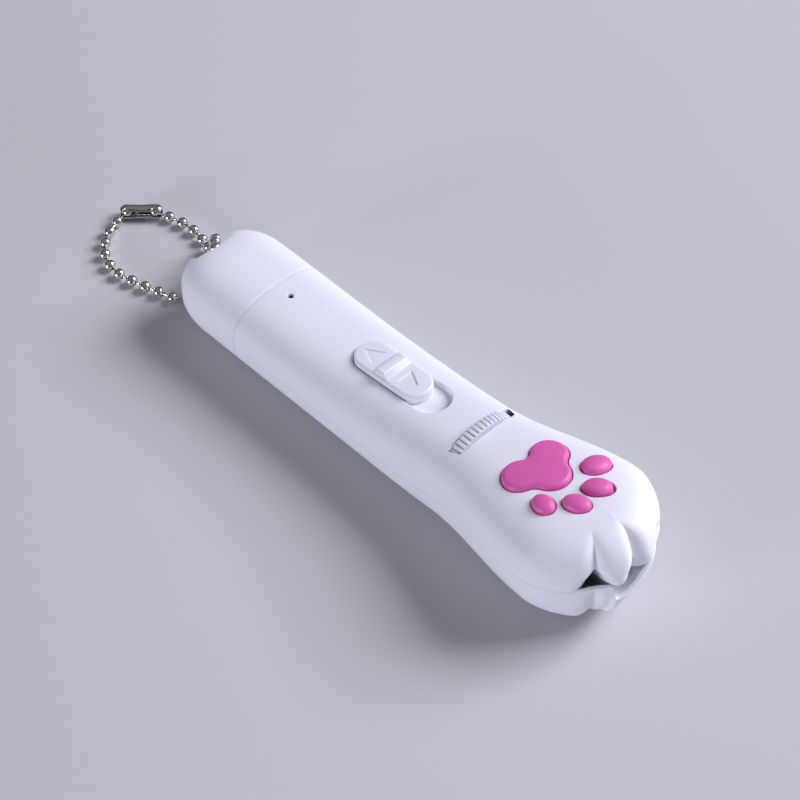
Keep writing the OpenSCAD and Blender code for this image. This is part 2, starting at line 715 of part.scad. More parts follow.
// Smooth curve through the route, as short steps
route_steps = 10;
function spline(a, b, c, d, t) =
    0.5*(2*b + (c - a)*t + (2*a - 5*b + 4*c - d)*t*t + (3*b - a - 3*c + d)*t*t*t);
function route_at(i) = [rear_x, 0, 0] + chain_route[min(len(chain_route) - 1, max(0, i))];
route_line = concat(
    [for (i = [0:len(chain_route) - 2]) for (k = [0:route_steps - 1])
        spline(route_at(i - 1), route_at(i), route_at(i + 1), route_at(i + 2), k/route_steps)],
    [route_at(len(chain_route) - 1)]);
function run_sums(i = 0, sum = 0) = i >= len(route_line) - 1 ? [[sum, i]]
    : concat([[sum, i]], run_sums(i + 1, sum + norm(route_line[i + 1] - route_line[i])));
route_runs = run_sums();
route_l = route_runs[len(route_runs) - 1][0];
ball_count = floor(route_l/ball_pitch) + 1;
ball_step = route_l/(ball_count - 1);
function along_route(s) =
    let (f = lookup(s, route_runs), i = min(len(route_line) - 2, floor(f)))
    route_line[i] + (f - i)*(route_line[i + 1] - route_line[i]);
// No ball sinks below the surface that the chain lies on
function lifted(p) = [p.x, p.y, max(p.z, rest_z)];
balls = [for (i = [0:ball_count - 1]) lifted(along_route(i*ball_step))];

// Places a piece drawn along Z so that it runs from one point towards another
module along(from, to) {
    v = to - from;
    translate(from) rotate([0, acos(v.z/norm(v)), atan2(v.y, v.x)]) children();
}

// Direction of the chain at a ball
function ball_way(i) = balls[min(ball_count - 1, i + 1)] - balls[max(0, i - 1)];
function way_turn(v) = [asin(v.z/norm(v)), 0, atan2(v.y, v.x) - 90];

ball_wall = 0.28;
link_d = 0.5;
link_gap = 0.1;
head_d = 0.9;
head_in = 0.3;
head_l = 0.36;
head_soft = 0.1;
module chain_balls() {
    color("silver") for (i = [0:ball_count - 1]) difference() {
        translate(balls[i]) rotate(way_turn(ball_way(i))) difference() {
            sphere(d = ball_d);
            sphere(d = ball_d - 2*ball_wall);
        }
        if (i > 0) along(balls[i], balls[i - 1]) cylinder(h = ball_d, d = link_d + 2*link_gap);
        if (i < ball_count - 1) along(balls[i], balls[i + 1]) cylinder(h = ball_d, d = link_d + 2*link_gap);
    }
}

// Link: a wire with a pressed head inside each ball
module chain_links() {
    color("gray") for (i = [0:ball_count - 2]) {
        l = norm(balls[i + 1] - balls[i]);
        end = [[0, head_in], [head_d/2 - head_soft, head_in], [head_d/2, head_in + head_soft],
               [head_d/2, head_in + head_l - head_soft], [link_d/2, head_in + head_l]];
        other = [for (k = [len(end) - 1:-1:0]) [end[k].x, l - end[k].y]];
        along(balls[i], balls[i + 1]) rotate_extrude($fn = 24) polygon(concat(end, other));
    }
}

// Clasp: a rolled tube with a slot along one side and narrowed ends that hold the last ball of each run
clasp_wall = 0.3;
clasp_slot = 1.4;
clasp_mid = (balls[0] + balls[ball_count - 1])/2;
clasp_turn = atan2(balls[0].y - balls[ball_count - 1].y, balls[0].x - balls[ball_count - 1].x);
module chain_clasp() {
    color("silver") translate(clasp_mid) rotate(clasp_turn) rotate([0, 90, 0]) difference() {
        cylinder(h = clasp_l, d = clasp_d, center = true);
        cylinder(h = clasp_l - 2*clasp_wall, d = clasp_d - 2*clasp_wall, center = true);
        cylinder(h = clasp_l + 2*eps, d = clasp_slot, center = true);
        translate([0, -clasp_d/2, 0]) cube([clasp_slot, clasp_d, clasp_l + 2*eps], center = true);
    }
}

// Slide button with its thumb ridge, stem and foot
ridge_l = 3;
ridge_step = 0.5;
ridge_margin = 0.3;
fork_h = 3.2;
sole_gap = 0.05;
button_sole = recess_d - 2*sole_gap;
lever_w = 1.4;
lever_gap = 0.1;
case_h = 3.4;
lever_bite = 1.2;
lever_foot = 0.6;
stem_reach = 4.4;
lever_top = slide_z + stem_x*sin(slide_tilt) - stem_reach;
module slide_button() {
    color("white") on_slide() translate([stem_x, 0, 0]) {
        translate([button_l/2 - button_rear_run, 0, -button_sole])
            linear_extrude(button_sole + button_rise) stadium(button_l, button_w);
        for (k = [0, 1])
            translate([-ridge_l/2 + k*ridge_step, -button_w/2 + ridge_margin, button_rise - eps])
            cube([ridge_l - 2*k*ridge_step, button_w - 2*ridge_margin, ridge_h*(k + 1)/2 + eps]);
        difference() {
            union() {
                translate([-stem_l/2, -stem_w/2, -stem_reach])
                    cube([stem_l, stem_w, stem_reach - button_sole + eps]);
                translate([-stem_l/2, -foot_w/2, -recess_d - bed_t - foot_gap - foot_t])
                    cube([stem_l, foot_w, foot_t]);
            }
            translate([0, 0, -stem_reach]) rotate([0, slide_tilt, 0])
                cube([lever_w + 2*lever_gap, 2*stem_w, fork_h], center = true);
        }
    }
}

lever_x = recess_x + stem_x*cos(slide_tilt) + stem_reach*sin(slide_tilt);
module switch_lever() {
    color("dimgray") translate([lever_x - lever_w/2, -lever_w/2, board_z + board_t + lever_foot])
        cube([lever_w, lever_w, lever_top + lever_bite - board_z - board_t - lever_foot]);
}

case_end = 1.5;
case_l = slide_travel + lever_w + 2*case_end;
case_w = 3.8;
case_wall = 0.5;
module switch_case() {
    color("silver") translate([lever_x + slide_travel/2, 0, board_z + board_t]) difference() {
        translate([-case_l/2, -case_w/2, 0]) cube([case_l, case_w, case_h]);
        translate([-case_l/2 + case_wall, -case_w/2 + case_wall, case_wall])
            cube([case_l - 2*case_wall, case_w - 2*case_wall, case_h - 2*case_wall]);
        translate([-slide_travel/2 - lever_w/2 - slide_gap, -lever_w/2 - slide_gap, case_h/2])
            cube([slide_travel + lever_w + 2*slide_gap, lever_w + 2*slide_gap, case_h]);
    }
}

// Thumbwheel with ribs, pressed on the axle that also turns the pattern disc
hub_d = 5;
hub_l = 5;
module pattern_wheel() {
    color("white") difference() {
        union() {
            x_extrude(wheel_x - wheel_t/2, wheel_x + wheel_t/2) translate([0, wheel_z]) difference() {
                circle(wheel_r, $fn = 96);
                for (i = [0:wheel_ribs - 1]) rotate((i + 0.5)*360/wheel_ribs) translate([wheel_r, 0])
                    square([2*rib_d, PI*wheel_r/wheel_ribs], center = true);
            }
            x_rod(wheel_x - hub_l/2, wheel_x + hub_l/2, hub_d, 0, wheel_z);
        }
        x_rod(wheel_x - hub_l, wheel_x + hub_l, axle_d, 0, wheel_z);
    }
}

disc_gap = 1.2;
disc_x = rib_places[2] + rib_t + disc_gap;
disc_t = 1.2;
disc_hub_l = 0.8;
disc_r = 6.8;
axle_end = 1;
module wheel_axle() {
    color("silver") x_rod(rib_places[0] - axle_end, disc_x + disc_t, axle_d, 0, wheel_z);
}

pattern_count = 6;
pattern_d = 2.6;
module pattern_disc() {
    color("darkslategray") difference() {
        union() {
            x_rod(disc_x, disc_x + disc_t, 2*disc_r, 0, wheel_z);
            x_rod(disc_x - disc_hub_l, disc_x, hub_d, 0, wheel_z);
        }
        x_rod(disc_x - disc_t, disc_x + 2*disc_t, axle_d, 0, wheel_z);
        for (i = [0:pattern_count - 1]) translate([0, 0, wheel_z]) rotate([i*360/pattern_count, 0, 0])
            x_rod(disc_x - eps, disc_x + disc_t + eps, pattern_d, 0, beam_rise);
    }
}

// Leaf spring under the pattern disc that steadies it
leaf_t = 0.25;
leaf_half = 3.6;
leaf_gap = 0.12;
bump_half = 2.6;
leaf_lift = 0.3;
leaf_rest = wall - foot_cut + leaf_lift;
leaf_peak = wheel_z - disc_r - leaf_gap - leaf_t;
module detent_spring() {
    color("goldenrod") x_extrude(disc_x, disc_x + disc_t) polygon([
        [-leaf_half, leaf_rest], [-bump_half, leaf_rest], [0, leaf_peak], [bump_half, leaf_rest],
        [leaf_half, leaf_rest], [leaf_half, leaf_rest + leaf_t], [bump_half, leaf_rest + leaf_t],
        [0, leaf_peak + leaf_t], [-bump_half, leaf_rest + leaf_t], [-leaf_half, leaf_rest + leaf_t]]);
}

pad_middle_share = 0.45;
pad_middle = pad_middle_share*lobe_step;
module main_pad() {
    color("hotpink") on_back(pad_x, 0)
        pad_form(main_outline(0), [pad_middle, 0], main_pocket_d - sole_gap, pad_rise, back_sag);
}

module toe_pads() {
    color("hotpink") for (t = toe_places) on_back(t.x, t.y) rotate(t.z)
        pad_form(toe_outline(0), [0, 0], pocket_d - sole_gap, toe_rise, flat_sag);
}

// Laser: a brass barrel with a diode at its back and a lens at its front
barrel_bore = 4.4;
barrel_lip = 1.4;
beam_bore = 3;
lens_t = 1.2;
lens_gap = 0.1;
diode_in = 0.4;
diode_l = 3.4;
leg_half = 1;
leg_d = 0.5;
leg_l = 3;
module laser_barrel() {
    color("gold") difference() {
        x_rod(barrel_x, barrel_x + barrel_l, barrel_d, 0, beam_z);
        x_rod(barrel_x - eps, barrel_x + barrel_l - barrel_lip, barrel_bore, 0, beam_z);
        x_rod(barrel_x, barrel_x + barrel_l + eps, beam_bore, 0, beam_z);
    }
}

module laser_lens() {
    lens_x = barrel_x + barrel_l - barrel_lip;
    color("lightcyan") x_rod(lens_x - lens_t, lens_x, barrel_bore - 2*lens_gap, 0, beam_z);
}

module laser_diode() {
    color("silver") {
        x_rod(barrel_x + diode_in, barrel_x + diode_in + diode_l, barrel_bore - 2*lens_gap, 0, beam_z);
        for (s = [-1, 1])
            x_rod(barrel_x + diode_in - leg_l, barrel_x + 2*diode_in, leg_d, s*leg_half, beam_z);
    }
}

// Plate behind the toes that holds the side lamps and passes the beam
holder_gap = 1.6;
holder_x = disc_x + disc_t + holder_gap;
holder_t = 2;
holder_side = 0.6;
holder_half = groove_y + lamp_d/2 + holder_side;
holder_foot = 4.8;
holder_shoulder = 6;
holder_ear = 3;
holder_top = beam_z + holder_ear;
holder_rest = 0.45;
holder_root = wall - foot_cut + holder_rest;
lamp_rise = 0.1;
lamp_z = front_part_z + lamp_rise;
lamp_rim = 0.4;
lamp_gap = 0.05;
lamp_flange = 0.8;
lamp_l = 5.4;
module lamp_holder() {
    color("dimgray") difference() {
        x_extrude(holder_x, holder_x + holder_t) polygon([
            [-holder_foot, holder_root], [holder_foot, holder_root], [holder_foot, lamp_z - holder_foot],
            [holder_half, lamp_z - holder_ear], [holder_half, lamp_z + holder_ear],
            [holder_shoulder, holder_top], [-holder_shoulder, holder_top],
            [-holder_half, lamp_z + holder_ear], [-holder_half, lamp_z - holder_ear],
            [-holder_foot, lamp_z - holder_foot]]);
        x_rod(holder_x - eps, holder_x + holder_t + eps, pattern_d, 0, beam_z);
        for (s = [-1, 1])
            x_rod(holder_x - eps, holder_x + holder_t + eps, lamp_d + 2*lamp_gap, s*groove_y, lamp_z);
    }
}

module lamp(y) {
    x_rod(holder_x - lamp_flange, holder_x, lamp_d + 2*lamp_rim, y, lamp_z);
    x_rod(holder_x - lamp_flange, holder_x + lamp_l - lamp_flange - lamp_d/2, lamp_d, y, lamp_z);
    translate([holder_x + lamp_l - lamp_flange - lamp_d/2, y, lamp_z]) sphere(d = lamp_d);
}

module white_lamp() {
    color("lemonchiffon") lamp(-groove_y);
}

module violet_lamp() {
    color("mediumpurple") lamp(groove_y);
}

module circuit_board() {
    color("seagreen") difference() {
        translate([board_rear, -board_w/2, board_z]) cube([board_front - board_rear, board_w, board_t]);
        screw_holes(screw_d + 2*screw_gap, 0);
    }
}

screw_l = 3.6;
screw_head_h = 1;
screw_head_d = 3;
module board_screws() {
    color("gray") for (s = [-1, 1]) translate([boss_x, s*boss_y, board_z + board_t]) {
        cylinder(h = screw_head_h, d = screw_head_d);
        translate([0, 0, -board_t - screw_l]) cylinder(h = board_t + screw_l + eps, d = screw_d);
    }
}

cell_rest = 0.65;
cell_z = wall - foot_cut + cell_rest;
cell_r = 1.2;
module battery_cell() {
    color("steelblue") x_extrude(board_rear + cell_in, board_rear + cell_in + cell_l)
        translate([0, cell_z + cell_h/2]) rounded_rect(cell_w, cell_h, cell_r);
}

// Plug: a folded steel shell with latch holes, a plastic tongue and four contact strips
plug_tip = seam_x - plug_l;
plug_corner = 0.6;
latch_w = 2.5;
latch_l = 2;
latch_run = 5.2;
latch_half = 2.5;
module plug_shell() {
    color("silver") difference() {
        x_extrude(plug_tip, seam_x + bulkhead_t) translate([0, part_low]) difference() {
            rounded_rect(plug_w, plug_h, plug_corner);
            rounded_rect(plug_w - 2*plug_wall, plug_h - 2*plug_wall, plug_corner/2);
        }
        for (s = [-1, 1]) translate([plug_tip + latch_run, s*latch_half - latch_w/2, part_low - plug_h])
            cube([latch_l, latch_w, 2*plug_h]);
    }
}

tongue_t = 1.8;
tongue_gap = 0.05;
tongue_in = 0.4;
tongue_side = 0.25;
tongue_root = 1.2;
tongue_w = plug_w - 2*plug_wall - 2*tongue_side;
tongue_z = part_low + plug_h/2 - plug_wall - tongue_gap - tongue_t;
module plug_tongue() {
    color("whitesmoke") {
        translate([plug_tip + tongue_in, -tongue_w/2, tongue_z])
            cube([seam_x + bulkhead_t - plug_tip - tongue_in, tongue_w, tongue_t]);
        translate([seam_x - tongue_root, -tongue_w/2, part_low - plug_h/2 + plug_wall + 2*tongue_gap])
            cube([bulkhead_t + tongue_root, tongue_w, plug_h/2]);
    }
}

contact_t = 0.2;
contact_w = 1;
contact_in = 1;
contact_end = 3;
contact_seat = 0.02;
contact_places = [-3.5, -1, 1, 3.5];
module plug_contacts() {
    color("gold") for (y = contact_places)
        translate([plug_tip + contact_in, y - contact_w/2, tongue_z - contact_t - contact_seat])
            cube([plug_l - contact_in - contact_end, contact_w, contact_t]);
}

charge_lamp_h = 0.8;
charge_lamp_l = 1.6;
charge_lamp_w = 1.2;
module charge_lamp() {
    color("tomato") translate([pinhole_x - charge_lamp_l/2, -charge_lamp_w/2, board_z + board_t])
        cube([charge_lamp_l, charge_lamp_w, charge_lamp_h]);
}

module light_pipe() {
    pipe_z = board_z + board_t + charge_lamp_h + 2*pipe_gap;
    color("aliceblue") translate([pinhole_x, 0, pipe_z])
        cylinder(h = handle_h - pipe_sink - pipe_z, d = pinhole_d - 2*pipe_gap);
}

top_shell();
bottom_shell();
rear_cap();
chain_pin();
chain_balls();
chain_links();
chain_clasp();
slide_button();
switch_lever();
switch_case();
pattern_wheel();
wheel_axle();
pattern_disc();
detent_spring();
main_pad();
toe_pads();
laser_barrel();
laser_lens();
laser_diode();
lamp_holder();
white_lamp();
violet_lamp();
circuit_board();
board_screws();
battery_cell();
plug_shell();
plug_tongue();
plug_contacts();
charge_lamp();
light_pipe();
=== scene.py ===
"""Paw-shaped laser pointer for cats: the looks of the casing, cap, chain, switch, wheel and pads."""
import math
from types import SimpleNamespace

import bmesh
import bpy
from mathutils import Matrix, Vector


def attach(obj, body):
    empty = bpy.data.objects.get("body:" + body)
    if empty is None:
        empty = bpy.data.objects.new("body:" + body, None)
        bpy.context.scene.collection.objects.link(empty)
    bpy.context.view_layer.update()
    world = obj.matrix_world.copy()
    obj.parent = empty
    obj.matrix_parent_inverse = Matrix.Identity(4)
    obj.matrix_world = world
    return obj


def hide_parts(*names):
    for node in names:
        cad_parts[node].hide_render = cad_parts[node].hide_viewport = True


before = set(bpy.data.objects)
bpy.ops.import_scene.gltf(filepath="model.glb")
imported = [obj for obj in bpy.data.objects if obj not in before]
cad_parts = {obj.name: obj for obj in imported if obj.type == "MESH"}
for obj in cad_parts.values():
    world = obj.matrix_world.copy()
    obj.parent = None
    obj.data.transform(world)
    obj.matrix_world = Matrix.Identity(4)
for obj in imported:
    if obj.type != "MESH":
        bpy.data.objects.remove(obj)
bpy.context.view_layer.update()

bl_info = {
    "name": "Paw laser pointer",
    "version": (1, 0, 0),
    "blender": (4, 5, 0),
    "location": "View3D > Sidebar > Pointer",
    "description": "Builds a paw-shaped laser pointer for cats, piece by piece",
    "category": "Add Mesh",
}


def srgb(code):
    """Linear colour of an sRGB hex code."""
    parts = [int(code[i:i + 2], 16)/255 for i in (1, 3, 5)]
    return tuple(p/12.92 if p <= 0.04045 else ((p + 0.055)/1.055)**2.4 for p in parts)


def length(label, words, value):
    """A length property, given in millimetres and kept in metres."""
    return bpy.props.FloatProperty(name=label, description=words, default=value/1000, unit="LENGTH",
                                   subtype="DISTANCE", precision=5)


def colour(label, words, code):
    """A colour property from an sRGB hex code."""
    return bpy.props.FloatVectorProperty(name=label, description=words, default=srgb(code), subtype="COLOR",
                                         min=0, max=1)


class PointerSizes(bpy.types.PropertyGroup):
    """Sizes of the pointer"""
    body_l: length("Body length", "From the end of the cap to the toes", 126.2)
    handle_w: length("Handle width", "Width of the handle", 25)
    handle_h: length("Handle height", "Height of the handle", 18.2)
    paw_w: length("Paw width", "Width across the toes", 34.4)
    wall: length("Wall", "Wall thickness of the casing", 1.6)
    part_low: length("Parting line", "Height of the parting line along the handle", 8.8)
    part_rise: length("Parting rise", "Rise of the parting line up to the toes", 6.2)
    back_rise: length("Back rise", "Rise of the back over its full curve", 9)
    groove_d: length("Outer toe grooves", "Reach of the outer grooves before softening", 6.0)
    mid_groove_d: length("Middle toe groove", "Reach of the middle groove before softening", 5.4)
    low_groove_d: length("Lower toe grooves", "Depth of the grooves in the lower shell", 1.4)
    toe_wall: length("Toe wall", "Wall thickness round the toes", 0.9)
    cap_l: length("Cap length", "Length of the pull-off cap", 22.75)
    rim_r: length("Rim radius", "Rounding of the edges at the parting line", 0.1)
    seam_r: length("Seam radius", "Rounding of the edges at the cap seam", 0.3)
    lip_r: length("Lip radius", "Rounding round the recess of the slide button", 0.22)
    button_l: length("Button length", "Length of the slide button", 20.0)
    button_w: length("Button width", "Width of the slide button", 7.8)
    button_rise: length("Button rise", "Height of the slide button above the back", 0.9)
    wheel_r: length("Wheel radius", "Radius of the thumbwheel", 10.5)
    wheel_t: length("Wheel thickness", "Thickness of the thumbwheel", 2.3)
    pad_rise: length("Pad rise", "Height of the main pad's edge above the paw", 0.98)
    toe_rise: length("Toe pad rise", "Height of the toe pads above the paw", 1.5)
    ball_d: length("Ball", "Diameter of a chain ball", 2.6)


class PointerColours(bpy.types.PropertyGroup):
    """Colours of the pointer and its stage"""
    casing: colour("Casing", "White moulded plastic", "#F1F1FA")
    pads: colour("Pads", "Pink silicone", "#E869B6")
    chain: colour("Chain", "Nickel plate", "#EAE6E2")
    # Near black: dark plastic of the lamp holder and switch lever, kept this dark as painted shade behind the
    # windows
    dark: colour("Dark plastic", "Lamp holder and switch lever", "#3A3A44")
    board: colour("Board", "Solder mask", "#1F6B41")
    cell: colour("Cell", "Shrink sleeve", "#2F5C9C")
    brass: colour("Brass", "Laser barrel and contacts", "#D9B35B")
    floor: colour("Floor", "Studio table", "#CCCBCD")


MM = 0.001


def smooth(t):
    """Soft step from 0 to 1."""
    c = min(1.0, max(0.0, t))
    return c*c*(3 - 2*c)


def sizes():
    """All sizes in millimetres, with the places that follow from them."""
    group = bpy.context.scene.pointer_sizes
    d = SimpleNamespace(**{key: getattr(group, key)/MM for key in PointerSizes.__annotations__})
    d.front_x = d.body_l/2
    d.rear_x = -d.body_l/2
    # Lengths of the round ends and of the flare from the handle to the paw
    d.front_l, d.rear_l, d.flare_l = 15.9, 13.7, 30.3
    d.front_c = d.front_x - d.front_l
    d.rear_c = d.rear_x + d.rear_l
    d.seam_x = d.rear_x + d.cap_l
    d.flare_x = d.front_c - d.flare_l
    # Starts of the curves of the back and the parting line, measured back from the toes, and their lengths
    d.back_x, d.back_len = d.front_x - 88.7, 102.5
    d.part_x, d.part_len = d.front_x - 58.2, 46
    # Height cut off flat at the underside, and gap at the parting line
    d.foot_cut, d.part_gap = 0.4, 0.05
    # Fullness of the sections and of the round ends: 2 is an ellipse and more is squarer
    d.upper_n, d.lower_n, d.front_n, d.rear_n = 2.7, 2.4, 1.72, 2.65
    # Share of an end's reach that its spine runs to
    d.front_spine, d.rear_spine = 0.5, 0.1
    # Grooves between the toes: turn from the middle in degrees, lean with height, softness of the start
    d.groove_turn, d.groove_lean, d.groove_soft = 35, 2.4, 0.9
    d.mid_groove_lean, d.mid_groove_soft, d.mid_low_groove_d = 4.2, 3.5, 0.9
    d.far_groove_d, d.far_groove_lean, d.far_groove_soft = 3.2, -1.6, 1.5
    # Share of a toe by which a groove is wider inside, and rounding of its crease
    d.groove_grow, d.crease_r = 0.12, 0.07
    # The chin slopes most in the middle and runs out at a turn in degrees
    d.toe_span, d.chin, d.chin_turn = 1.5*d.groove_turn, 1.1, 52
    # Light window in the lower rim: its drop, and the turns in degrees where it starts and climbs back
    d.window_d, d.window_near, d.window_step = 4.3, -22.5, 4
    d.window_climb, d.window_run = -20, 46
    d.wheel_x = d.front_x - 43.5
    d.ridge_x = d.front_x - 68.6
    d.wheel_rise, d.beam_rise, d.beam_r = 1.5, 4.4, 0.5
    d.wheel_z = back_z(d, d.wheel_x) + d.wheel_rise - d.wheel_r
    d.beam_z = d.wheel_z + d.beam_rise
    d.slide_travel, d.slide_gap, d.recess_d = 5.0, 0.25, 1.5
    d.ridge_share = 0.48
    d.button_rear = d.button_l*d.ridge_share
    d.recess_l = d.button_l + d.slide_travel + 2*d.slide_gap
    d.recess_w = d.button_w + 2*d.slide_gap
    d.recess_rear = d.ridge_x - d.button_rear - d.slide_gap
    d.recess_x = d.recess_rear + d.recess_l/2
    z0, z1 = back_z(d, d.recess_rear), back_z(d, d.recess_rear + d.recess_l)
    d.slide_tilt = math.atan2(z1 - z0, d.recess_l)
    d.slide_z = (z0 + z1)/2
    d.pad_x = d.front_x - 28.5
    d.pinhole_x = d.seam_x + 4.6
    return d


def back_z(d, x):
    """Height of the spine."""
    return d.handle_h + d.back_rise*smooth((x - d.back_x)/d.back_len)


def part_z(d, x):
    """Height of the parting line."""
    return d.part_low + d.part_rise*smooth((x - d.part_x)/d.part_len)


def side_y(d, x):
    """Half width of the casing."""
    return d.handle_w/2 + (d.paw_w - d.handle_w)/2*smooth((x - d.flare_x)/d.flare_l)


def top_z(d, x, y):
    """Height of the back over a point of the plan."""
    low = part_z(d, x)
    return low + (back_z(d, x) - low)*max(0, 1 - (abs(y)/side_y(d, x))**d.upper_n)**(1/d.upper_n)


def turn(degrees):
    """Sine and cosine of an angle in degrees, with exact ends."""
    if degrees == 90:
        return 1.0, 0.0
    return math.sin(math.radians(degrees)), math.cos(math.radians(degrees))


def flank_column(d, x, inset):
    """Column of the casing on its flank: rim point, spine place and inset."""
    return (x, side_y(d, x) - inset, x, inset)


def cap_column(d, degrees, inset):
    """Column of the cap round its closed end."""
    s, c = turn(degrees)
    x = d.rear_c - (d.rear_l - inset)*s**(2/d.rear_n)
    y = (d.handle_w/2 - inset)*c**(2/d.rear_n)
    return (x, y, d.rear_c + d.rear_spine*(x - d.rear_c), inset)


def seam_columns(d, way, inset):
    """Columns that round the edge at the cap seam; way is 1 for the handle and -1 for the cap."""
    out = []
    for degrees in (0, 30, 60, 90):
        s, c = turn(degrees)
        out.append(flank_column(d, d.seam_x + way*d.seam_r*(1 - c), inset + d.seam_r*(1 - s)))
    return out


def skin_point(column, out, up, z_rim, z_spine, back=0.0):
    """Point on a column at shares out and up of its section, drawn back from the surface."""
    px, py, sx, _ = column
    reach = math.hypot(px - sx, py)
    run = out - (back/reach if reach else 0)
    return (sx + (px - sx)*run, py*run, z_rim + (z_spine - z_rim)*up)


def section_rows(n, count):
    """Shares of the section from the rim to the spine, closer together near the spine."""
    rows = []
    for j in range(count + 1):
        s, c = turn(90*math.sin(math.pi/2*j/count) if j < count else 90)
        rows.append((c**(2/n), s**(2/n)))
    return rows


def crease(d, phi, grow=0.0):
    """Share of the groove depth: 1 in a crease, 0 along the middle of a toe and beside the outer toes."""
    if phi >= d.toe_span:
        return 0.0
    t = phi/d.groove_turn
    side = math.sin(math.pi*max(0.0, abs(t - round(t)) - grow)/(1 - 2*grow))
    return 1 - (math.hypot(side, d.crease_r) - d.crease_r)/(math.hypot(1, d.crease_r) - d.crease_r)


def outline_point(d, phi, out, inset):
    """Point of the toe outline whose column runs at the angle phi at a share of its reach."""
    if phi >= 90:
        return 0.0, d.paw_w/2 - inset
    lean = math.tan(math.radians(phi))*(d.front_l - inset)/(d.paw_w/2 - inset)
    a = math.atan2(1, (lean*(d.front_spine + (1 - d.front_spine)*out)/out)**(d.front_n/2))
    x = (d.front_l - inset)*math.sin(a)**(2/d.front_n)
    return x, (d.paw_w/2 - inset)*max(0.0, math.cos(a))**(2/d.front_n)


def groove_shape(d, phi, far):
    """Depth, lean and softness of the groove next to a column; the far outer one is the shallowest."""
    if phi < d.groove_turn/2:
        return d.mid_groove_d, d.mid_groove_lean, d.mid_groove_soft
    if far:
        return d.far_groove_d, d.far_groove_lean, d.far_groove_soft
    return d.groove_d, d.groove_lean, d.groove_soft


def upper_dent(d, phi, up, behind, cleft, far):
    """Depth of a groove in the upper shell at a height; behind is the distance inside the toe outline."""
    deep, lean, soft = groove_shape(d, phi, far)
    over = max(0.0, deep + lean*up - behind)
    full = over*over/(over + soft)
    rim_zone = 0.4
    if phi < d.groove_turn/2:
        # The middle groove is wider at the rim, with twice the share of the full depth
        share, narrow, widen = 0.45, 1.5, 0.5
        low = 1 - smooth(up/rim_zone)
        return share*(1 + low)*cleft**(narrow - widen*low)*full
    # An outer groove opens into a window at the rim and is a shallow crease above it
    wide, narrow, share = 0.75, 1.7, 0.32
    window_top, window_fade = 0.06, 0.36
    closed = smooth((up - window_top)/window_fade)
    return cleft**(wide + (narrow - wide)*smooth(up/rim_zone))*(1 - (1 - share)*closed)*full


def lower_dent(d, phi, up, cleft):
    """Depth of a groove in the lower shell: slight at the rim, full below it, gone near the underside."""
    deep = d.mid_low_groove_d if phi < d.groove_turn/2 else d.low_groove_d
    rim_share, rim_zone, narrow = 0.4, 0.3, 1.3
    fade_start, fade = 0.75, 0.27
    grown = rim_share + (1 - rim_share)*smooth(up/rim_zone)
    return cleft**narrow*deep*grown*(1 - smooth((up - fade_start)/fade))


def window_drop(d, phi, far):
    """Drop of the lower shell's rim under the middle toes, where the light window is."""
    side = phi if far else -phi
    start = smooth((side - d.window_near)/d.window_step)
    return d.window_d*start*(1 - smooth((side - d.window_climb)/d.window_run))


def toe_point(d, phi, v, skin, is_top, far, back=0.0):
    """Point of the toes at a turn v: upright grooves above the parting line, a sloping chin below it."""
    s, c = turn(v)
    n = d.upper_n if is_top else d.lower_n - d.chin*(1 - smooth(phi/d.chin_turn))
    out, up = c**(2/n), s**(2/n)
    inset = skin and skin - (d.wall - d.toe_wall)*smooth((90 - phi)/(90 - d.toe_span))
    px, py = outline_point(d, phi, out, inset)
    sx = d.front_c + d.front_spine*px
    fx, fy = (d.front_spine + (1 - d.front_spine)*out)*px, out*py
    r = math.hypot(fx, fy)
    cleft = crease(d, phi, d.groove_grow if skin else 0)
    if is_top:
        behind = math.hypot(*outline_point(d, phi, 1, inset)) - r
        dent = upper_dent(d, phi, up, behind, cleft, far)
    else:
        dent = lower_dent(d, phi, up, cleft)
    share = 1 - (dent + back)/r
    rim = part_z(d, sx) - (0 if is_top else d.part_gap + window_drop(d, phi, far))
    spine = back_z(d, sx) - inset if is_top else inset - d.foot_cut
    return (d.front_c + fx*share, fy*share, rim + (spine - rim)*up)


def half_side(d, columns, is_top, rows, rim_r, skin, far, floor):
    """Grid of one side of a half of the casing; a column is a flank column or an angle at the toes."""
    n = d.upper_n if is_top else d.lower_n
    turns = [90*math.sin(math.pi/2*j/rows) for j in range(rows)] + [90]
    grid = []
    for column in columns:
        toe = not isinstance(column, tuple)
        inset = skin if toe else column[3]
        sx = d.front_c if toe else column[2]
        rim = part_z(d, sx) - (0 if is_top else d.part_gap)
        spine = back_z(d, sx) - inset if is_top else inset - d.foot_cut
        points = []
        for v in turns[:-1]:
            s, c = turn(v)
            points.append(toe_point(d, column, v, skin, is_top, far) if toe
                          else skin_point(column, c**(2/n), s**(2/n), rim, spine))
        points.append((sx, 0.0, spine))
        if rim_r:
            way = 1 if is_top else -1
            edge = []
            for degrees in (0, 30, 60, 90):
                s, c = turn(degrees)
                if toe:
                    x, y, z = toe_point(d, column, 0, skin, is_top, far, rim_r*(1 - s))
                else:
                    x, y, z = skin_point(column, 1, 0, rim, spine, rim_r*(1 - s))
                edge.append((x, y, z + way*rim_r*(1 - c)))
            points[:1] = edge
        if floor is not None:
            points = [(x, y, max(z, floor + (0 if toe else inset))) for x, y, z in points]
        grid.append(points)
    return grid


def half_grid(d, columns, is_top, rows, rim_r, skin, floor=None):
    """Grid of one half of the casing, both sides."""
    far = half_side(d, columns, is_top, rows, rim_r, skin, True, floor)
    near = half_side(d, columns, is_top, rows, rim_r, skin, False, floor)
    return far + [[(x, -y, z) for x, y, z in points] for points in reversed(near[:-1])]


def grid_faces(first, columns, rows, flip=False):
    """Quads of a grid of points stored column by column."""
    faces = []
    for u in range(columns - 1):
        for j in range(rows - 1):
            a = first + u*rows + j
            quad = (a, a + 1, a + rows + 1, a + rows)
            faces.append(quad[::-1] if flip else quad)
    return faces


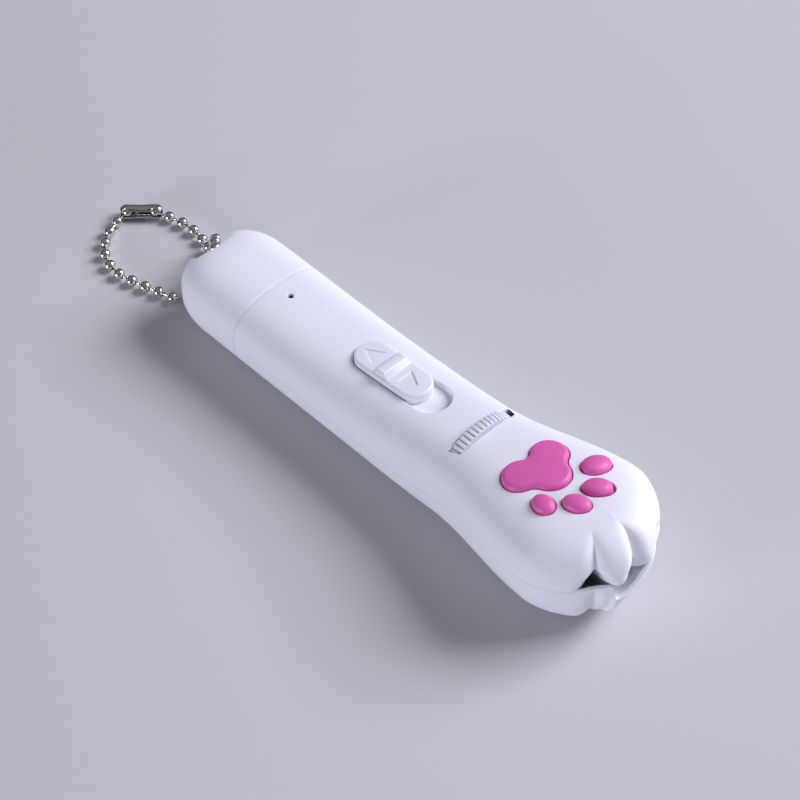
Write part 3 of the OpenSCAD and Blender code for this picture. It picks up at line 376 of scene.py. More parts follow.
def mesh_object(name, points, faces):
    """Mesh object from points in millimetres, welded, with its faces turned outwards."""
    weld, sliver = 0.002*MM, 0.0001*MM
    mesh = bpy.data.meshes.new(name)
    mesh.from_pydata([(x*MM, y*MM, z*MM) for x, y, z in points], [], faces)
    work = bmesh.new()
    work.from_mesh(mesh)
    bmesh.ops.remove_doubles(work, verts=work.verts, dist=weld)
    bmesh.ops.dissolve_degenerate(work, edges=work.edges, dist=sliver)
    bmesh.ops.recalc_face_normals(work, faces=work.faces)
    work.to_mesh(mesh)
    work.free()
    piece = bpy.data.objects.new(name, mesh)
    bpy.context.scene.collection.objects.link(piece)
    return piece


def loft(name, rings, matrix=None, closed=False):
    """Mesh object through rings of points; the ends are filled, or joined where closed."""
    count = len(rings[0])
    points = [Vector(p) for ring in rings for p in ring]
    if matrix is not None:
        points = [matrix @ p for p in points]
    faces = []
    spans = len(rings) if closed else len(rings) - 1
    for k in range(spans):
        low, high = k*count, ((k + 1) % len(rings))*count
        for i in range(count):
            n = (i + 1) % count
            faces.append((low + i, low + n, high + n, high + i))
    if not closed:
        faces.append(tuple(range(count - 1, -1, -1)))
        faces.append(tuple((len(rings) - 1)*count + i for i in range(count)))
    return mesh_object(name, [tuple(p) for p in points], faces)


def only(piece):
    """Makes a piece the one that is selected and active."""
    bpy.ops.object.select_all(action="DESELECT")
    piece.select_set(True)
    bpy.context.view_layer.objects.active = piece


def cut(piece, cutters, operation="DIFFERENCE"):
    """Cuts cutters out of a piece, or adds them to it, and then deletes them."""
    for cutter in cutters:
        only(piece)
        change = piece.modifiers.new("cut", "BOOLEAN")
        change.operation = operation
        change.solver = "EXACT"
        change.object = cutter
        bpy.ops.object.modifier_apply(modifier=change.name)
        bpy.data.objects.remove(cutter)
    return piece


def join(name, pieces):
    """Joins pieces into the first one."""
    only(pieces[0])
    for piece in pieces:
        piece.select_set(True)
    bpy.ops.object.join()
    pieces[0].name = name
    return pieces[0]


def dress(piece, material, body, slot, *nodes, angle=30):
    """Shades a piece, gives it its material and ties it to the frame."""
    only(piece)
    bpy.ops.object.shade_smooth_by_angle(angle=math.radians(angle))
    piece.data.materials.clear()
    piece.data.materials.append(material)
    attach(piece, body)
    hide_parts(*nodes)


def stadium(l, w, steps=14):
    """Outline with straight sides and round ends, anticlockwise."""
    half, r, spans = (l - w)/2, w/2, 10
    right = [(half + r*math.cos(a), r*math.sin(a))
             for a in (math.pi*(k/steps - 0.5) for k in range(steps + 1))]
    top = [(half*(1 - 2*k/spans), r) for k in range(1, spans)]
    return right + top + [(-x, -y) for x, y in right] + [(-x, -y) for x, y in top]


def rounded_box(x0, x1, y0, y1, r, steps=4):
    """Rectangle with round corners, anticlockwise."""
    out = []
    corners = ((x1 - r, y0 + r, -90), (x1 - r, y1 - r, 0), (x0 + r, y1 - r, 90), (x0 + r, y0 + r, 180))
    for cx, cy, start in corners:
        for k in range(steps + 1):
            a = math.radians(start + 90*k/steps)
            out.append((cx + r*math.cos(a), cy + r*math.sin(a)))
    return out


def offset(outline, distance):
    """Outline moved outwards along its own normals."""
    out = []
    count = len(outline)
    for i, (x, y) in enumerate(outline):
        ax, ay = outline[i - 1]
        bx, by = outline[(i + 1) % count]
        e1 = Vector((x - ax, y - ay))
        e2 = Vector((bx - x, by - y))
        e1.normalize()
        e2.normalize()
        n = Vector((e1.y + e2.y, -e1.x - e2.x))
        n.normalize()
        scale = distance/max(0.5, n.x*e1.y - n.y*e1.x)
        out.append((x + n.x*scale, y + n.y*scale))
    return out


def slide_matrix(d):
    """Frame of the slide: on the back, tilted with it."""
    return Matrix.Translation((d.recess_x, 0, d.slide_z)) @ Matrix.Rotation(-d.slide_tilt, 4, "Y")


def back_matrix(d, x, y, spin=0.0):
    """Frame that lies on the back at a point of the plan."""
    step = 1.0
    rise_x = math.atan2(top_z(d, x + step, y) - top_z(d, x - step, y), 2*step)
    rise_y = math.atan2(top_z(d, x, y + step) - top_z(d, x, y - step), 2*step)
    return (Matrix.Translation((x, y, top_z(d, x, y))) @ Matrix.Rotation(rise_y, 4, "X")
            @ Matrix.Rotation(-rise_x, 4, "Y") @ Matrix.Rotation(math.radians(spin), 4, "Z"))


def back_height(d, matrix, x, y):
    """Height of the back over a point of a frame that lies on it, along that frame's own Z."""
    start = matrix @ Vector((x, y, 0))
    way = matrix.to_3x3() @ Vector((0, 0, 1))
    h = 0.0
    for _ in range(5):
        p = start + way*h
        h += (top_z(d, p.x, p.y) - p.z)/way.z
    return h


def lip_cutter(d, name, outline, matrix, floor, r):
    """Cutter for an opening in the back whose rim is rounded all the way along."""
    flare, top = 0.12, 4.0
    rings = [[(x, y, floor) for x, y in outline]]
    for degrees in (0, 25, 50, 72):
        s, c = turn(degrees)
        ring = offset(outline, r*(1 - c)) if degrees else outline
        rings.append([(x, y, back_height(d, matrix, x, y) - r*(1 - s)) for x, y in ring])
    ring = offset(outline, r*(1 - c) + flare*s/c)
    rings.append([(x, y, back_height(d, matrix, x, y) - r*(1 - s) + flare) for x, y in ring])
    rings.append([(x, y, top) for x, y in ring])
    return loft(name, rings, matrix)


def arc(cx, cy, r, start, end, steps):
    """Points along an arc, angles in degrees."""
    return [(cx + r*math.cos(math.radians(start + (end - start)*k/steps)),
             cy + r*math.sin(math.radians(start + (end - start)*k/steps))) for k in range(steps + 1)]


def bearing(a, b):
    """Direction from one point to another, in degrees."""
    return math.degrees(math.atan2(b[1] - a[1], b[0] - a[0]))


def main_outline():
    """Outline of the main pad: two rear lobes and a front one, joined by hollows."""
    half, rear_r, step, nose_r, notch_r, side_r = 4.0, 3.9, 4.3, 4.1, 2.0, 3.5
    rear, nose = (0.0, half), (step, 0.0)
    gap = math.dist(rear, nose)
    ax, ay = (nose[0] - rear[0])/gap, (nose[1] - rear[1])/gap
    a = ((rear_r + side_r)**2 - (nose_r + side_r)**2 + gap*gap)/(2*gap)
    h = math.sqrt((rear_r + side_r)**2 - a*a)
    hollow = (rear[0] + a*ax - h*ay, rear[1] + a*ay + h*ax)
    back = (-math.sqrt((rear_r + notch_r)**2 - half*half), 0.0)
    side = arc(*nose, nose_r, 0, bearing(nose, hollow), 16)
    side += arc(*hollow, side_r, bearing(hollow, nose) + 360, bearing(hollow, rear) + 360, 10)[1:]
    side += arc(*rear, rear_r, bearing(rear, hollow), bearing(rear, back) + 360, 28)[1:]
    side += arc(*back, notch_r, bearing(back, rear), 0, 8)[1:]
    return side + [(x, -y) for x, y in reversed(side[1:-1])]


def toe_outline(l, w, steps=44):
    """Oval outline of a toe pad."""
    return [(l/2*math.cos(math.tau*k/steps), w/2*math.sin(math.tau*k/steps)) for k in range(steps)]


def long_outline(l, w):
    """Oval of the far inner pad's pocket, which runs on in front of the pad."""
    reach, ease = 0.5, 2
    return [(x + reach*smooth(x/ease), y) for x, y in toe_outline(l, w)]


# Number of the far inner pad in the list of toe pads
FAR_INNER = 3


def toe_places(d):
    """Place, turn, length and width of each toe pad; the run is measured back from the toes."""
    return [(d.front_x - run, y, spin, l, w) for run, y, spin, l, w in (
        (19.95, -6.55, -5, 5.4, 4.1), (15.15, -2.3, 18, 5.95, 4.3),
        (19.7, 8.05, 78, 6.55, 5.2), (15.2, 3.45, 42, 6.1, 4.6))]


def circle(r, steps):
    """Points round a circle."""
    return arc(0, 0, r, 0, 360, steps)[:-1]


def beam_cutter(d):
    """Cutter of the hole that lets the beam out between the middle toes."""
    start, end = d.front_c + 4, d.front_x + 2
    return loft("beam", [[(x, y, d.beam_z + z) for y, z in circle(d.beam_r, 40)] for x in (start, end)])


def section_outline(d, inset, steps=96):
    """Section of the handle in the YZ plane, inset from its outer form."""
    out = []
    for k in range(steps):
        a = math.tau*k/steps
        s, c = math.sin(a), math.cos(a)
        n = d.upper_n if s >= 0 else d.lower_n
        half = d.handle_h - inset - d.part_low if s >= 0 else d.part_low + d.foot_cut - inset
        out.append(((d.handle_w/2 - inset)*math.copysign(abs(c)**(2/n), c),
                    d.part_low + half*math.copysign(abs(s)**(2/n), s)))
    return out


def half_section(d, inset, is_top):
    """Upper or lower part of the handle's section, closed along the parting line."""
    level = d.part_low - (0 if is_top else d.part_gap)
    outline = section_outline(d, inset)
    return [(y, max(z, level) if is_top else min(z, level)) for y, z in outline]


def neck(d, is_top):
    """Half of the neck that holds the cap and the plug; a station is a run from the seam and an inset."""
    stations = ((-3.2, 2.1), (-2.9, 1.8), (0.25, 1.8), (0.26, 1.2), (1.8, 1.2))
    plug_half_w, plug_half_h, corner_r, reach = 6.1, 2.35, 0.5, 6
    rings = [[(d.seam_x + x, y, z) for y, z in half_section(d, inset, is_top)] for x, inset in stations]
    piece = loft("neck", rings)
    low, high = d.part_low - plug_half_h, d.part_low + plug_half_h
    mouth = rounded_box(-plug_half_w, plug_half_w, low, high, corner_r)
    hole = loft("mouth", [[(x, y, z) for y, z in mouth] for x in (d.seam_x - reach, d.seam_x + reach)])
    return cut(piece, [hole])


def casing_half(d, is_top):
    """One moulded half of the casing, outer and inner skin; columns crowd together at the creases."""
    flank_steps, side_steps, toe_steps, crowd, outer_rows, inner_rows = 116, 26, 18, 1.5, 44, 24
    start = d.seam_x + d.seam_r
    xs = [start + (d.front_c - start)*k/flank_steps for k in range(1, flank_steps)]
    angles = [90 - (90 - d.toe_span)*k/side_steps for k in range(side_steps)]
    half = d.groove_turn/2
    angles += [d.groove_turn + half*(1 - k/toe_steps)**crowd for k in range(toe_steps)]
    angles += [d.groove_turn - half*(k/toe_steps)**crowd for k in range(toe_steps)]
    angles += [half*(1 - k/toe_steps)**crowd for k in range(toe_steps + 1)]

    def columns(inset):
        edge = seam_columns(d, 1, inset) if inset == 0 else [flank_column(d, d.seam_x, inset)]*4
        return edge + [flank_column(d, x, inset) for x in xs] + angles

    outer = half_grid(d, columns(0), is_top, outer_rows, d.rim_r, 0.0, None if is_top else 0.0)
    inner = half_grid(d, columns(d.wall), is_top, inner_rows, 0.0, d.wall)
    points = [p for column in outer for p in column]
    wide, tall = len(outer), len(outer[0])
    faces = grid_faces(0, wide, tall)
    first = len(points)
    points += [p for column in inner for p in column]
    deep = len(inner[0])
    faces += grid_faces(first, wide, deep, True)
    for u in range(wide - 1):
        faces.append((u*tall, (u + 1)*tall, first + (u + 1)*deep, first + u*deep))
    for u in (0, wide - 1):
        edge = [u*tall + j for j in range(tall)] + [first + u*deep + j for j in range(deep - 1, -1, -1)]
        faces.append(tuple(edge))
    return mesh_object("casing", points, faces)


def window_shelf(d):
    """Shelf behind the lowered rim of the lower shell, between two turns in degrees."""
    near, far, steps = -22, 28, 28
    set_back, set_down, fall, thick = 0.65, 0.35, 0.2, 0.8
    back_x, taper = d.front_c + 5, 0.8
    rim = part_z(d, d.front_c + d.front_spine*d.front_l)
    rings = []
    for k in range(steps + 1):
        side = near + (far - near)*k/steps
        phi, way = abs(side), math.copysign(1, side)
        x, y = outline_point(d, phi, 1, 0)
        share = 1 - (set_back + d.mid_low_groove_d*crease(d, phi))/math.hypot(x, y)
        x, y = d.front_c + x*share, y*share*way
        z = rim - window_drop(d, phi, side > 0) - set_down
        back_y, back_top = y*taper, z - fall
        rings.append([(x, y, z), (back_x, back_y, back_top), (back_x, back_y, back_top - thick),
                      (x, y, z - thick)])
    return loft("shelf", rings)


def put(tree, kind, settings=None, links=None):
    """Adds a shader node, with its settings and its links."""
    node = tree.nodes.new(kind)
    for key, value in (settings or {}).items():
        if key in node.inputs:
            node.inputs[key].default_value = value
        else:
            setattr(node, key, value)
    for key, source in (links or {}).items():
        tree.links.new(source, node.inputs[key])
    return node


def new_material(name):
    """Empty material with its shader and its object coordinates."""
    material = bpy.data.materials.new(name)
    material.use_nodes = True
    tree = material.node_tree
    tree.nodes.clear()
    shader = put(tree, "ShaderNodeBsdfPrincipled")
    put(tree, "ShaderNodeOutputMaterial", links={"Surface": shader.outputs["BSDF"]})
    place = put(tree, "ShaderNodeTexCoord").outputs["Object"]
    return material, tree, shader, place


def tint(tree, factor, base, low, high):
    """Colour that wanders a little round a base colour."""
    ramp = put(tree, "ShaderNodeValToRGB", links={"Fac": factor})
    for stop, share in zip(ramp.color_ramp.elements, (low, high)):
        stop.color = (*[min(1.0, c*share) for c in base], 1)
    return ramp.outputs["Color"]


def noise(tree, place, size, detail):
    """Noise with patches of about a size in millimetres."""
    node = put(tree, "ShaderNodeTexNoise", {"Scale": 1/(size*MM), "Detail": detail}, {"Vector": place})
    return node.outputs["Fac"]


def uneven(tree, shader, pattern, least, most):
    """Roughness that follows a pattern between two values."""
    sheen = put(tree, "ShaderNodeMapRange", {"To Min": least, "To Max": most}, {"Value": pattern})
    tree.links.new(sheen.outputs["Result"], shader.inputs["Roughness"])


def relief(tree, shader, pattern, strength, height):
    """Bumps that follow a pattern, with a height in millimetres."""
    bumps = put(tree, "ShaderNodeBump", {"Strength": strength, "Distance": height*MM}, {"Height": pattern})
    tree.links.new(bumps.outputs["Normal"], shader.inputs["Normal"])


def plastic(name, base, rough=0.42, grain=0.06, bump=0.05, soft=0.0, gloss=0.5):
    """Moulded plastic: a fine grain that breaks the gleam, and a faint drift of tone."""
    # The usual grain is about that of a spark-eroded mould; it is finer than a pixel and only softens the gleam
    drift_size, grain_height, spread = 16.667, 0.02, 0.05
    material, tree, shader, place = new_material(name)
    drift = noise(tree, place, drift_size, 3.0)
    fine = noise(tree, place, grain, 2.0)
    tree.links.new(tint(tree, drift, base, low=0.985, high=1.01), shader.inputs["Base Color"])
    uneven(tree, shader, fine, rough - spread, rough + spread)
    relief(tree, shader, fine, bump, grain_height)
    shader.inputs["Specular IOR Level"].default_value = gloss
    if soft:
        shader.inputs["Subsurface Weight"].default_value = soft
        shader.inputs["Subsurface Radius"].default_value = (1.2*MM, 0.8*MM, 0.9*MM)
        shader.inputs["Subsurface Scale"].default_value = 1.0
    return material


def metal(name, base, rough=0.16, wear=0.08):
    """Plated or turned metal: a mirror with fine scratches and a little tarnish."""
    tarnish_size, scratch_l, scratch_depth = 1.1111, 0.4, 0.01
    material, tree, shader, place = new_material(name)
    shader.inputs["Metallic"].default_value = 1.0
    cloud = noise(tree, place, tarnish_size, 4.0)
    tree.links.new(tint(tree, cloud, base, low=0.86, high=1.04), shader.inputs["Base Color"])
    stretch = put(tree, "ShaderNodeMapping", {"Scale": (1.0, 6.0, 6.0)}, {"Vector": place})
    lines = noise(tree, stretch.outputs["Vector"], scratch_l, 2.0)
    uneven(tree, shader, lines, rough - wear/2, rough + wear)
    relief(tree, shader, lines, 0.04, scratch_depth)
    return material


def clear(name, base, rough=0.05, ior=1.5):
    """Clear moulded resin: light passes through and bends, with faint flow marks."""
    flow_size, spread = 2, 0.05
    material, tree, shader, place = new_material(name)
    shader.inputs["Transmission Weight"].default_value = 0.85
    shader.inputs["IOR"].default_value = ior
    flow = noise(tree, place, flow_size, 1.0)
    tree.links.new(tint(tree, flow, base, low=0.95, high=1.0), shader.inputs["Base Color"])
    uneven(tree, shader, flow, rough, rough + spread)
    return material


def hue(name):
    """A colour from the panel."""
    return tuple(getattr(bpy.context.scene.pointer_colours, name))


def shared(name, maker, *args, **more):
    """A material that several pieces use, made once."""
    return bpy.data.materials.get(name) or maker(name, *args, **more)


def casing_material():
    """White ABS with a satin spark-eroded finish."""
    # A soft white that shows the form by shading, with broad faint highlights and no mirror image
    return shared("abs_white_satin", plastic, hue("casing"), rough=0.6, gloss=0.3)


def button_material():
    """White ABS from a smoother mould."""
    # The same white with tighter highlights, so that the ridge and the ribs catch the light
    return shared("abs_white_button", plastic, hue("casing"), rough=0.38)


def prism(name, outline, low, high, matrix):
    """Upright block with an outline, between two heights."""
    return loft(name, [[(x, y, z) for x, y in outline] for z in (low, high)], matrix)


class POINTER_OT_top_shell(bpy.types.Operator):
    """Upper half of the casing with its recess, slot, pockets, beam hole and light hole"""
    bl_idname = "pointer.top_shell"
    bl_label = "Top shell"

    def execute(self, context):
        d = sizes()
        piece = casing_half(d, True)
        slide = slide_matrix(d)
        pad = back_matrix(d, d.pad_x, 0)
        # Blocks inside the shell under the recess and under the main pad
        bed_rim, bed_t, bed_top = 2.8, 1.4, -0.96
        bed_outline = stadium(d.recess_l + bed_rim, d.recess_w + bed_rim)
        bed = prism("bed", bed_outline, -d.recess_d - bed_t, bed_top, slide)
        cut(piece, [bed], "UNION")
        rest_rim, rest_low, rest_top = 1.4, -2.6, -1.2
        rest = prism("rest", offset(main_outline(), rest_rim), rest_low, rest_top, pad)
        cut(piece, [rest], "UNION")
        cutters = [lip_cutter(d, "recess", stadium(d.recess_l, d.recess_w), slide, -d.recess_d, d.lip_r)]
        cutters.append(self.stem_cutter(d, slide))
        cutters += self.wheel_cutters(d)
        pad_gap, pad_floor, pad_lip = 0.22, -1.4, 0.18
        cutters.append(lip_cutter(d, "pocket", offset(main_outline(), pad_gap), pad, pad_floor, pad_lip))
        toe_gap, toe_floor, toe_lip = 0.42, -1.0, 0.15
        for i, (x, y, spin, l, w) in enumerate(toe_places(d)):
            shape = long_outline if i == FAR_INNER else toe_outline
            outline = shape(l + toe_gap, w + toe_gap)
            cutters.append(lip_cutter(d, "pocket", outline, back_matrix(d, x, y, spin), toe_floor, toe_lip))
        hole_r, hole_floor, hole_lip = 0.66, -5, 0.12
        pinhole = back_matrix(d, d.pinhole_x, 0)
        cutters.append(lip_cutter(d, "hole", circle(hole_r, 32), pinhole, hole_floor, hole_lip))
        cutters.append(beam_cutter(d))
        cut(piece, cutters)
        join("top_shell_skin", [piece, neck(d, True)])
        dress(piece, casing_material(), "handle", "casing_white", "top_shell")
        return {"FINISHED"}

    def stem_cutter(self, d, slide):
        """Cutter of the slot that the button's stem slides in."""
        half_l, half_w, corner_r, low, high = 1.75, 1.55, 0.3, -6, -0.5
        start = d.ridge_x - d.recess_x
        stem = rounded_box(start - half_l, start + d.slide_travel + half_l, -half_w, half_w, corner_r)
        return prism("stem", stem, low, high, slide)

    def wheel_cutters(self, d):
        """Cutters of the wheel's slot, which reaches further on the far side, and of the room below it."""
        slot_near, slot_far, corner_r, lip_r, gap = -7.3, 8.2, 0.2, 0.12, 0.12
        near_share, far_share = 1.03, 1.085
        half = d.wheel_t/2 + gap
        back = back_matrix(d, d.wheel_x, 0).translation.z
        flat = Matrix.Translation((d.wheel_x, 0, back))
        outline = rounded_box(-half, half, slot_near, slot_far, corner_r)
        slot = lip_cutter(d, "slot", outline, flat, d.wheel_z - back, lip_r)
        room = []
        for y, z in circle(d.wheel_r, 96):
            share = far_share if y > 0 else near_share
            room.append((y*share, d.wheel_z + z*share))
        return [slot, loft("room", [[(d.wheel_x + x, y, z) for y, z in room] for x in (-half, half)])]


class POINTER_OT_bottom_shell(bpy.types.Operator):
    """Lower half of the casing with its flat underside and the shelf behind the light window"""
    bl_idname = "pointer.bottom_shell"
    bl_label = "Bottom shell"

    def execute(self, context):
        d = sizes()
        piece = casing_half(d, False)
        join("bottom_shell_skin", [piece, neck(d, False), window_shelf(d)])
        dress(piece, casing_material(), "handle", "casing_white", "bottom_shell")
        return {"FINISHED"}


def cap_body(d):
    """Outer form of the cap as a closed solid."""
    flank_steps, end_steps, rows = 16, 60, 36
    start = d.seam_x - d.seam_r
    xs = [start - (start - d.rear_c)*k/flank_steps for k in range(1, flank_steps)]
    columns = seam_columns(d, -1, 0) + [flank_column(d, x, 0) for x in xs]
    columns += [cap_column(d, 90*k/end_steps, 0) for k in range(end_steps + 1)]
    grid = []
    for column in columns:
        inset = column[3]
        floor, top = inset - d.foot_cut, back_z(d, column[2]) - inset
        low = [skin_point(column, out, up, d.part_low, floor) for out, up in section_rows(d.lower_n, rows)]
        high = [skin_point(column, out, up, d.part_low, top) for out, up in section_rows(d.upper_n, rows)]
        grid.append([(x, y, max(z, inset)) for x, y, z in reversed(low[1:])] + high)
    grid += [[(x, -y, z) for x, y, z in points] for points in reversed(grid[:-1])]
    tall, wide = len(grid[0]), len(grid)
    faces = grid_faces(0, wide, tall)
    faces.append(tuple(range(tall)) + tuple((wide - 1)*tall + j for j in range(tall - 2, 0, -1)))
    return mesh_object("cap", [p for points in grid for p in points], faces)


class POINTER_OT_cap(bpy.types.Operator):
    """Pull-off cap with its hollow, and the scoop and the saddle that the chain runs through"""
    bl_idname = "pointer.cap"
    bl_label = "Cap"

    def execute(self, context):
        d = sizes()
        piece = cap_body(d)
        floor = d.rear_x + 6.55
        # Stations of the hollow: place along the handle and inset
        stations = ((floor + 1.3, 2.2), (floor + 1.9, 1.6), (d.seam_x - 0.4, 1.6), (d.seam_x + 0.4, 1.2))
        hollow = loft("hollow", [[(x, y, z) for y, z in section_outline(d, inset)] for x, inset in stations])
        cut(piece, [hollow, self.scoop_cutter(d, floor), self.saddle_cutter(d)])
        only(piece)
        soft = piece.modifiers.new("soft_rim", "BEVEL")
        soft.width = 0.3*MM
        soft.segments = 3
        soft.limit_method = "ANGLE"
        soft.angle_limit = math.radians(42)
        bpy.ops.object.modifier_apply(modifier=soft.name)
        piece.name = "rear_cap_skin"
        dress(piece, casing_material(), "cap", "casing_white", "rear_cap")
        return {"FINISHED"}

    def scoop_cutter(self, d, floor):
        """Cutter of the round scoop in the cap's end, which is wider at its mouth."""
        r, reach, half_w, flare, past = 12.5, 80, 4.0, 1.8, 4
        mouth = d.rear_x - 1
        profile = arc(floor - r, d.part_low, r, -reach, reach, 48)
        profile += [(mouth - past, profile[-1][1]), (mouth - past, profile[0][1])]
        half = [(x, half_w + flare*(floor - x)/(floor - mouth), z) for x, z in profile]
        return loft("scoop", [[(x, -y, z) for x, y, z in half], half])

    def saddle_cutter(self, d):
        """Cutter of the saddle across the cap's end, deepest in the middle."""
        half_w, deep, hollow_r, steps = 5.7, 5.6, 13, 24
        past, low, high = d.rear_x - 3, 9.95, 21
        wall = ((-0.6, low), (-0.3, 13), (0, 18.2), (0.1, high))
        rings = []
        for k in range(steps + 1):
            y = -half_w + 2*half_w*k/steps
            back = d.rear_x + deep - y*y/(hollow_r + math.sqrt(hollow_r**2 - y*y))
            rings.append([(past, y, low)] + [(back + run, y, z) for run, z in wall] + [(past, y, high)])
        return loft("saddle", rings)


def ring_points(profile, steps, place, spin_axis):
    """Rings of a turned form: profile of radius and height along an axis through a place."""
    turn_to = spin_axis.to_track_quat("Z", "Y").to_matrix()
    rings = []
    for r, h in profile:
        rings.append([tuple(place + turn_to @ Vector((x, y, h))) for x, y in circle(r, steps)])
    return rings


def spline_route(points, pitch):
    """Places of the balls along a smooth curve through the route."""
    line = []
    count, spans = len(points), 10
    rest = min(p.z for p in points)
    for i in range(count - 1):
        a, b = points[max(0, i - 1)], points[i]
        c, e = points[i + 1], points[min(count - 1, i + 2)]
        for k in range(spans):
            t = k/spans
            line.append(0.5*(2*b + (c - a)*t + (2*a - 5*b + 4*c - e)*t*t + (3*b - a - 3*c + e)*t**3))
    line.append(points[-1])
    runs = [0.0]
    for a, b in zip(line, line[1:]):
        runs.append(runs[-1] + (b - a).length)
    balls = int(runs[-1]/pitch) + 1
    step = runs[-1]/(balls - 1)
    out = []
    i = 0
    for k in range(balls):
        s = min(k*step, runs[-1])
        while i < len(line) - 2 and runs[i + 1] < s:
            i += 1
        p = line[i].lerp(line[i + 1], (s - runs[i])/(runs[i + 1] - runs[i]))
        out.append(Vector((p.x, p.y, max(p.z, rest))))
    return out


# Route of the chain in millimetres: run from the cap's end, side and height
ROUTE = [
    (-23.9, 5.9, 1.75), (-20.8, 7.3, 1.3), (-15.5, 8.4, 1.3), (-11.1, 8, 1.3), (-8.4, 7.1, 1.3),
    (-6.2, 7.1, 3.2), (-4.8, 6.9, 6.2), (-2.6, 5.2, 8.8), (0.2, 2.7, 10.8), (3.2, 0.5, 11.4),
    (5.1, -0.4, 8.6), (4.2, -1.4, 5.4), (2.3, -3, 3), (0.7, -5.6, 1.6), (-1.4, -8, 1.3),
    (-4.6, -9.1, 1.3), (-11.1, -11.1, 1.3), (-17.3, -12, 1.3), (-22.9, -9.7, 1.3), (-26.5, -5.2, 1.3),
    (-27.7, -1.9, 1.3), (-28.1, 1.5, 1.75)]


def ball_profile(r):
    """Section of a hollow pressed ball with two holes: the outside, the edge and the inside."""
    wall, hole, burr, edge = 0.28, 0.36, 0.02, 0.05

    def turns(radius, mouth, steps):
        start = math.asin(mouth/radius)
        return [start + (math.pi - 2*start)*k/steps for k in range(steps + 1)]

    inner_r = r - wall
    outer = [(r*math.sin(a), -r*math.cos(a)) for a in turns(r, hole, 18)]
    inner = [(inner_r*math.sin(a), inner_r*math.cos(a)) for a in turns(inner_r, hole - burr, 8)]
    return outer + [(hole + burr, r - edge)] + inner


class POINTER_OT_chain(bpy.types.Operator):
    """Ball chain: hollow pressed balls, headed links and the rolled clasp"""
    bl_idname = "pointer.chain"
    bl_label = "Chain"

    def execute(self, context):
        d = sizes()
        # Small bright mirrors with dark bands, which the fine scratches soften
        nickel = shared("nickel_plate", metal, hue("chain"), rough=0.1, wear=0.05)
        least_pitch = 3.4
        balls = spline_route([Vector((d.rear_x + x, y, z)) for x, y, z in ROUTE], least_pitch)
        profile = ball_profile(d.ball_d/2)
        pieces = []
        for i, place in enumerate(balls):
            way = balls[min(i + 1, len(balls) - 1)] - balls[max(i - 1, 0)]
            pieces.append(loft("ball", ring_points(profile, 28, place, way), closed=True))
        skin = join("chain_balls_skin", pieces)
        dress(skin, nickel, "chain", "chain_steel", "chain_balls", angle=50)
        # Headed end of a link: radius, and run from the middle of a ball
        end = [(0.02, 0.3), (0.35, 0.3), (0.45, 0.4), (0.45, 0.56), (0.25, 0.66), (0.25, 0.95), (0.22, 1.1)]
        pieces = []
        for a, b in zip(balls, balls[1:]):
            l = (b - a).length
            profile = end + [(end[-1][0], l/2)] + [(x, l - z) for x, z in reversed(end)]
            pieces.append(loft("link", ring_points(profile, 12, a, b - a)))
        skin = join("chain_links_skin", pieces)
        dress(skin, nickel, "chain", "chain_steel", "chain_links", angle=50)
        self.clasp(balls, nickel)
        return {"FINISHED"}

    def clasp(self, balls, nickel):
        """Rolled sheet clasp: a slotted tube whose ends close in round the last balls."""
        middle = (balls[0] + balls[-1])/2
        way = balls[0] - balls[-1]
        spin = math.atan2(way.y, way.x)
        place = Matrix.Translation(middle) @ Matrix.Rotation(spin, 4, "Z")
        half, r, wall, stations, steps = 4.6, 1.7, 0.26, 32, 40
        lip_l, lip_share, waist_d, waist_l = 1.1, 0.34, 0.12, 1.2
        gape, pinch_share, pinch_l, lean = math.radians(38), 0.25, 1.0, math.radians(62)
        rings = []
        for i in range(stations + 1):
            x = -half + 2*half*i/stations
            near = max(0, abs(x) - (half - lip_l))/lip_l
            outer_r = r*(1 - lip_share*near**2) - waist_d*math.exp(-(x/waist_l)**2)
            inner_r = outer_r - wall
            start = gape*(1 - pinch_share*math.exp(-(x/pinch_l)**2))
            turns = [start + (math.tau - 2*start)*k/steps for k in range(steps + 1)]
            outer = [(x, outer_r*math.sin(-a), outer_r*math.cos(a)) for a in turns]
            inner = [(x, inner_r*math.sin(-a), inner_r*math.cos(a)) for a in reversed(turns)]
            rings.append(outer + inner)
        piece = loft("chain_clasp_skin", rings, place @ Matrix.Rotation(lean, 4, "X"))
        dress(piece, nickel, "chain", "chain_steel", "chain_clasp", angle=40)


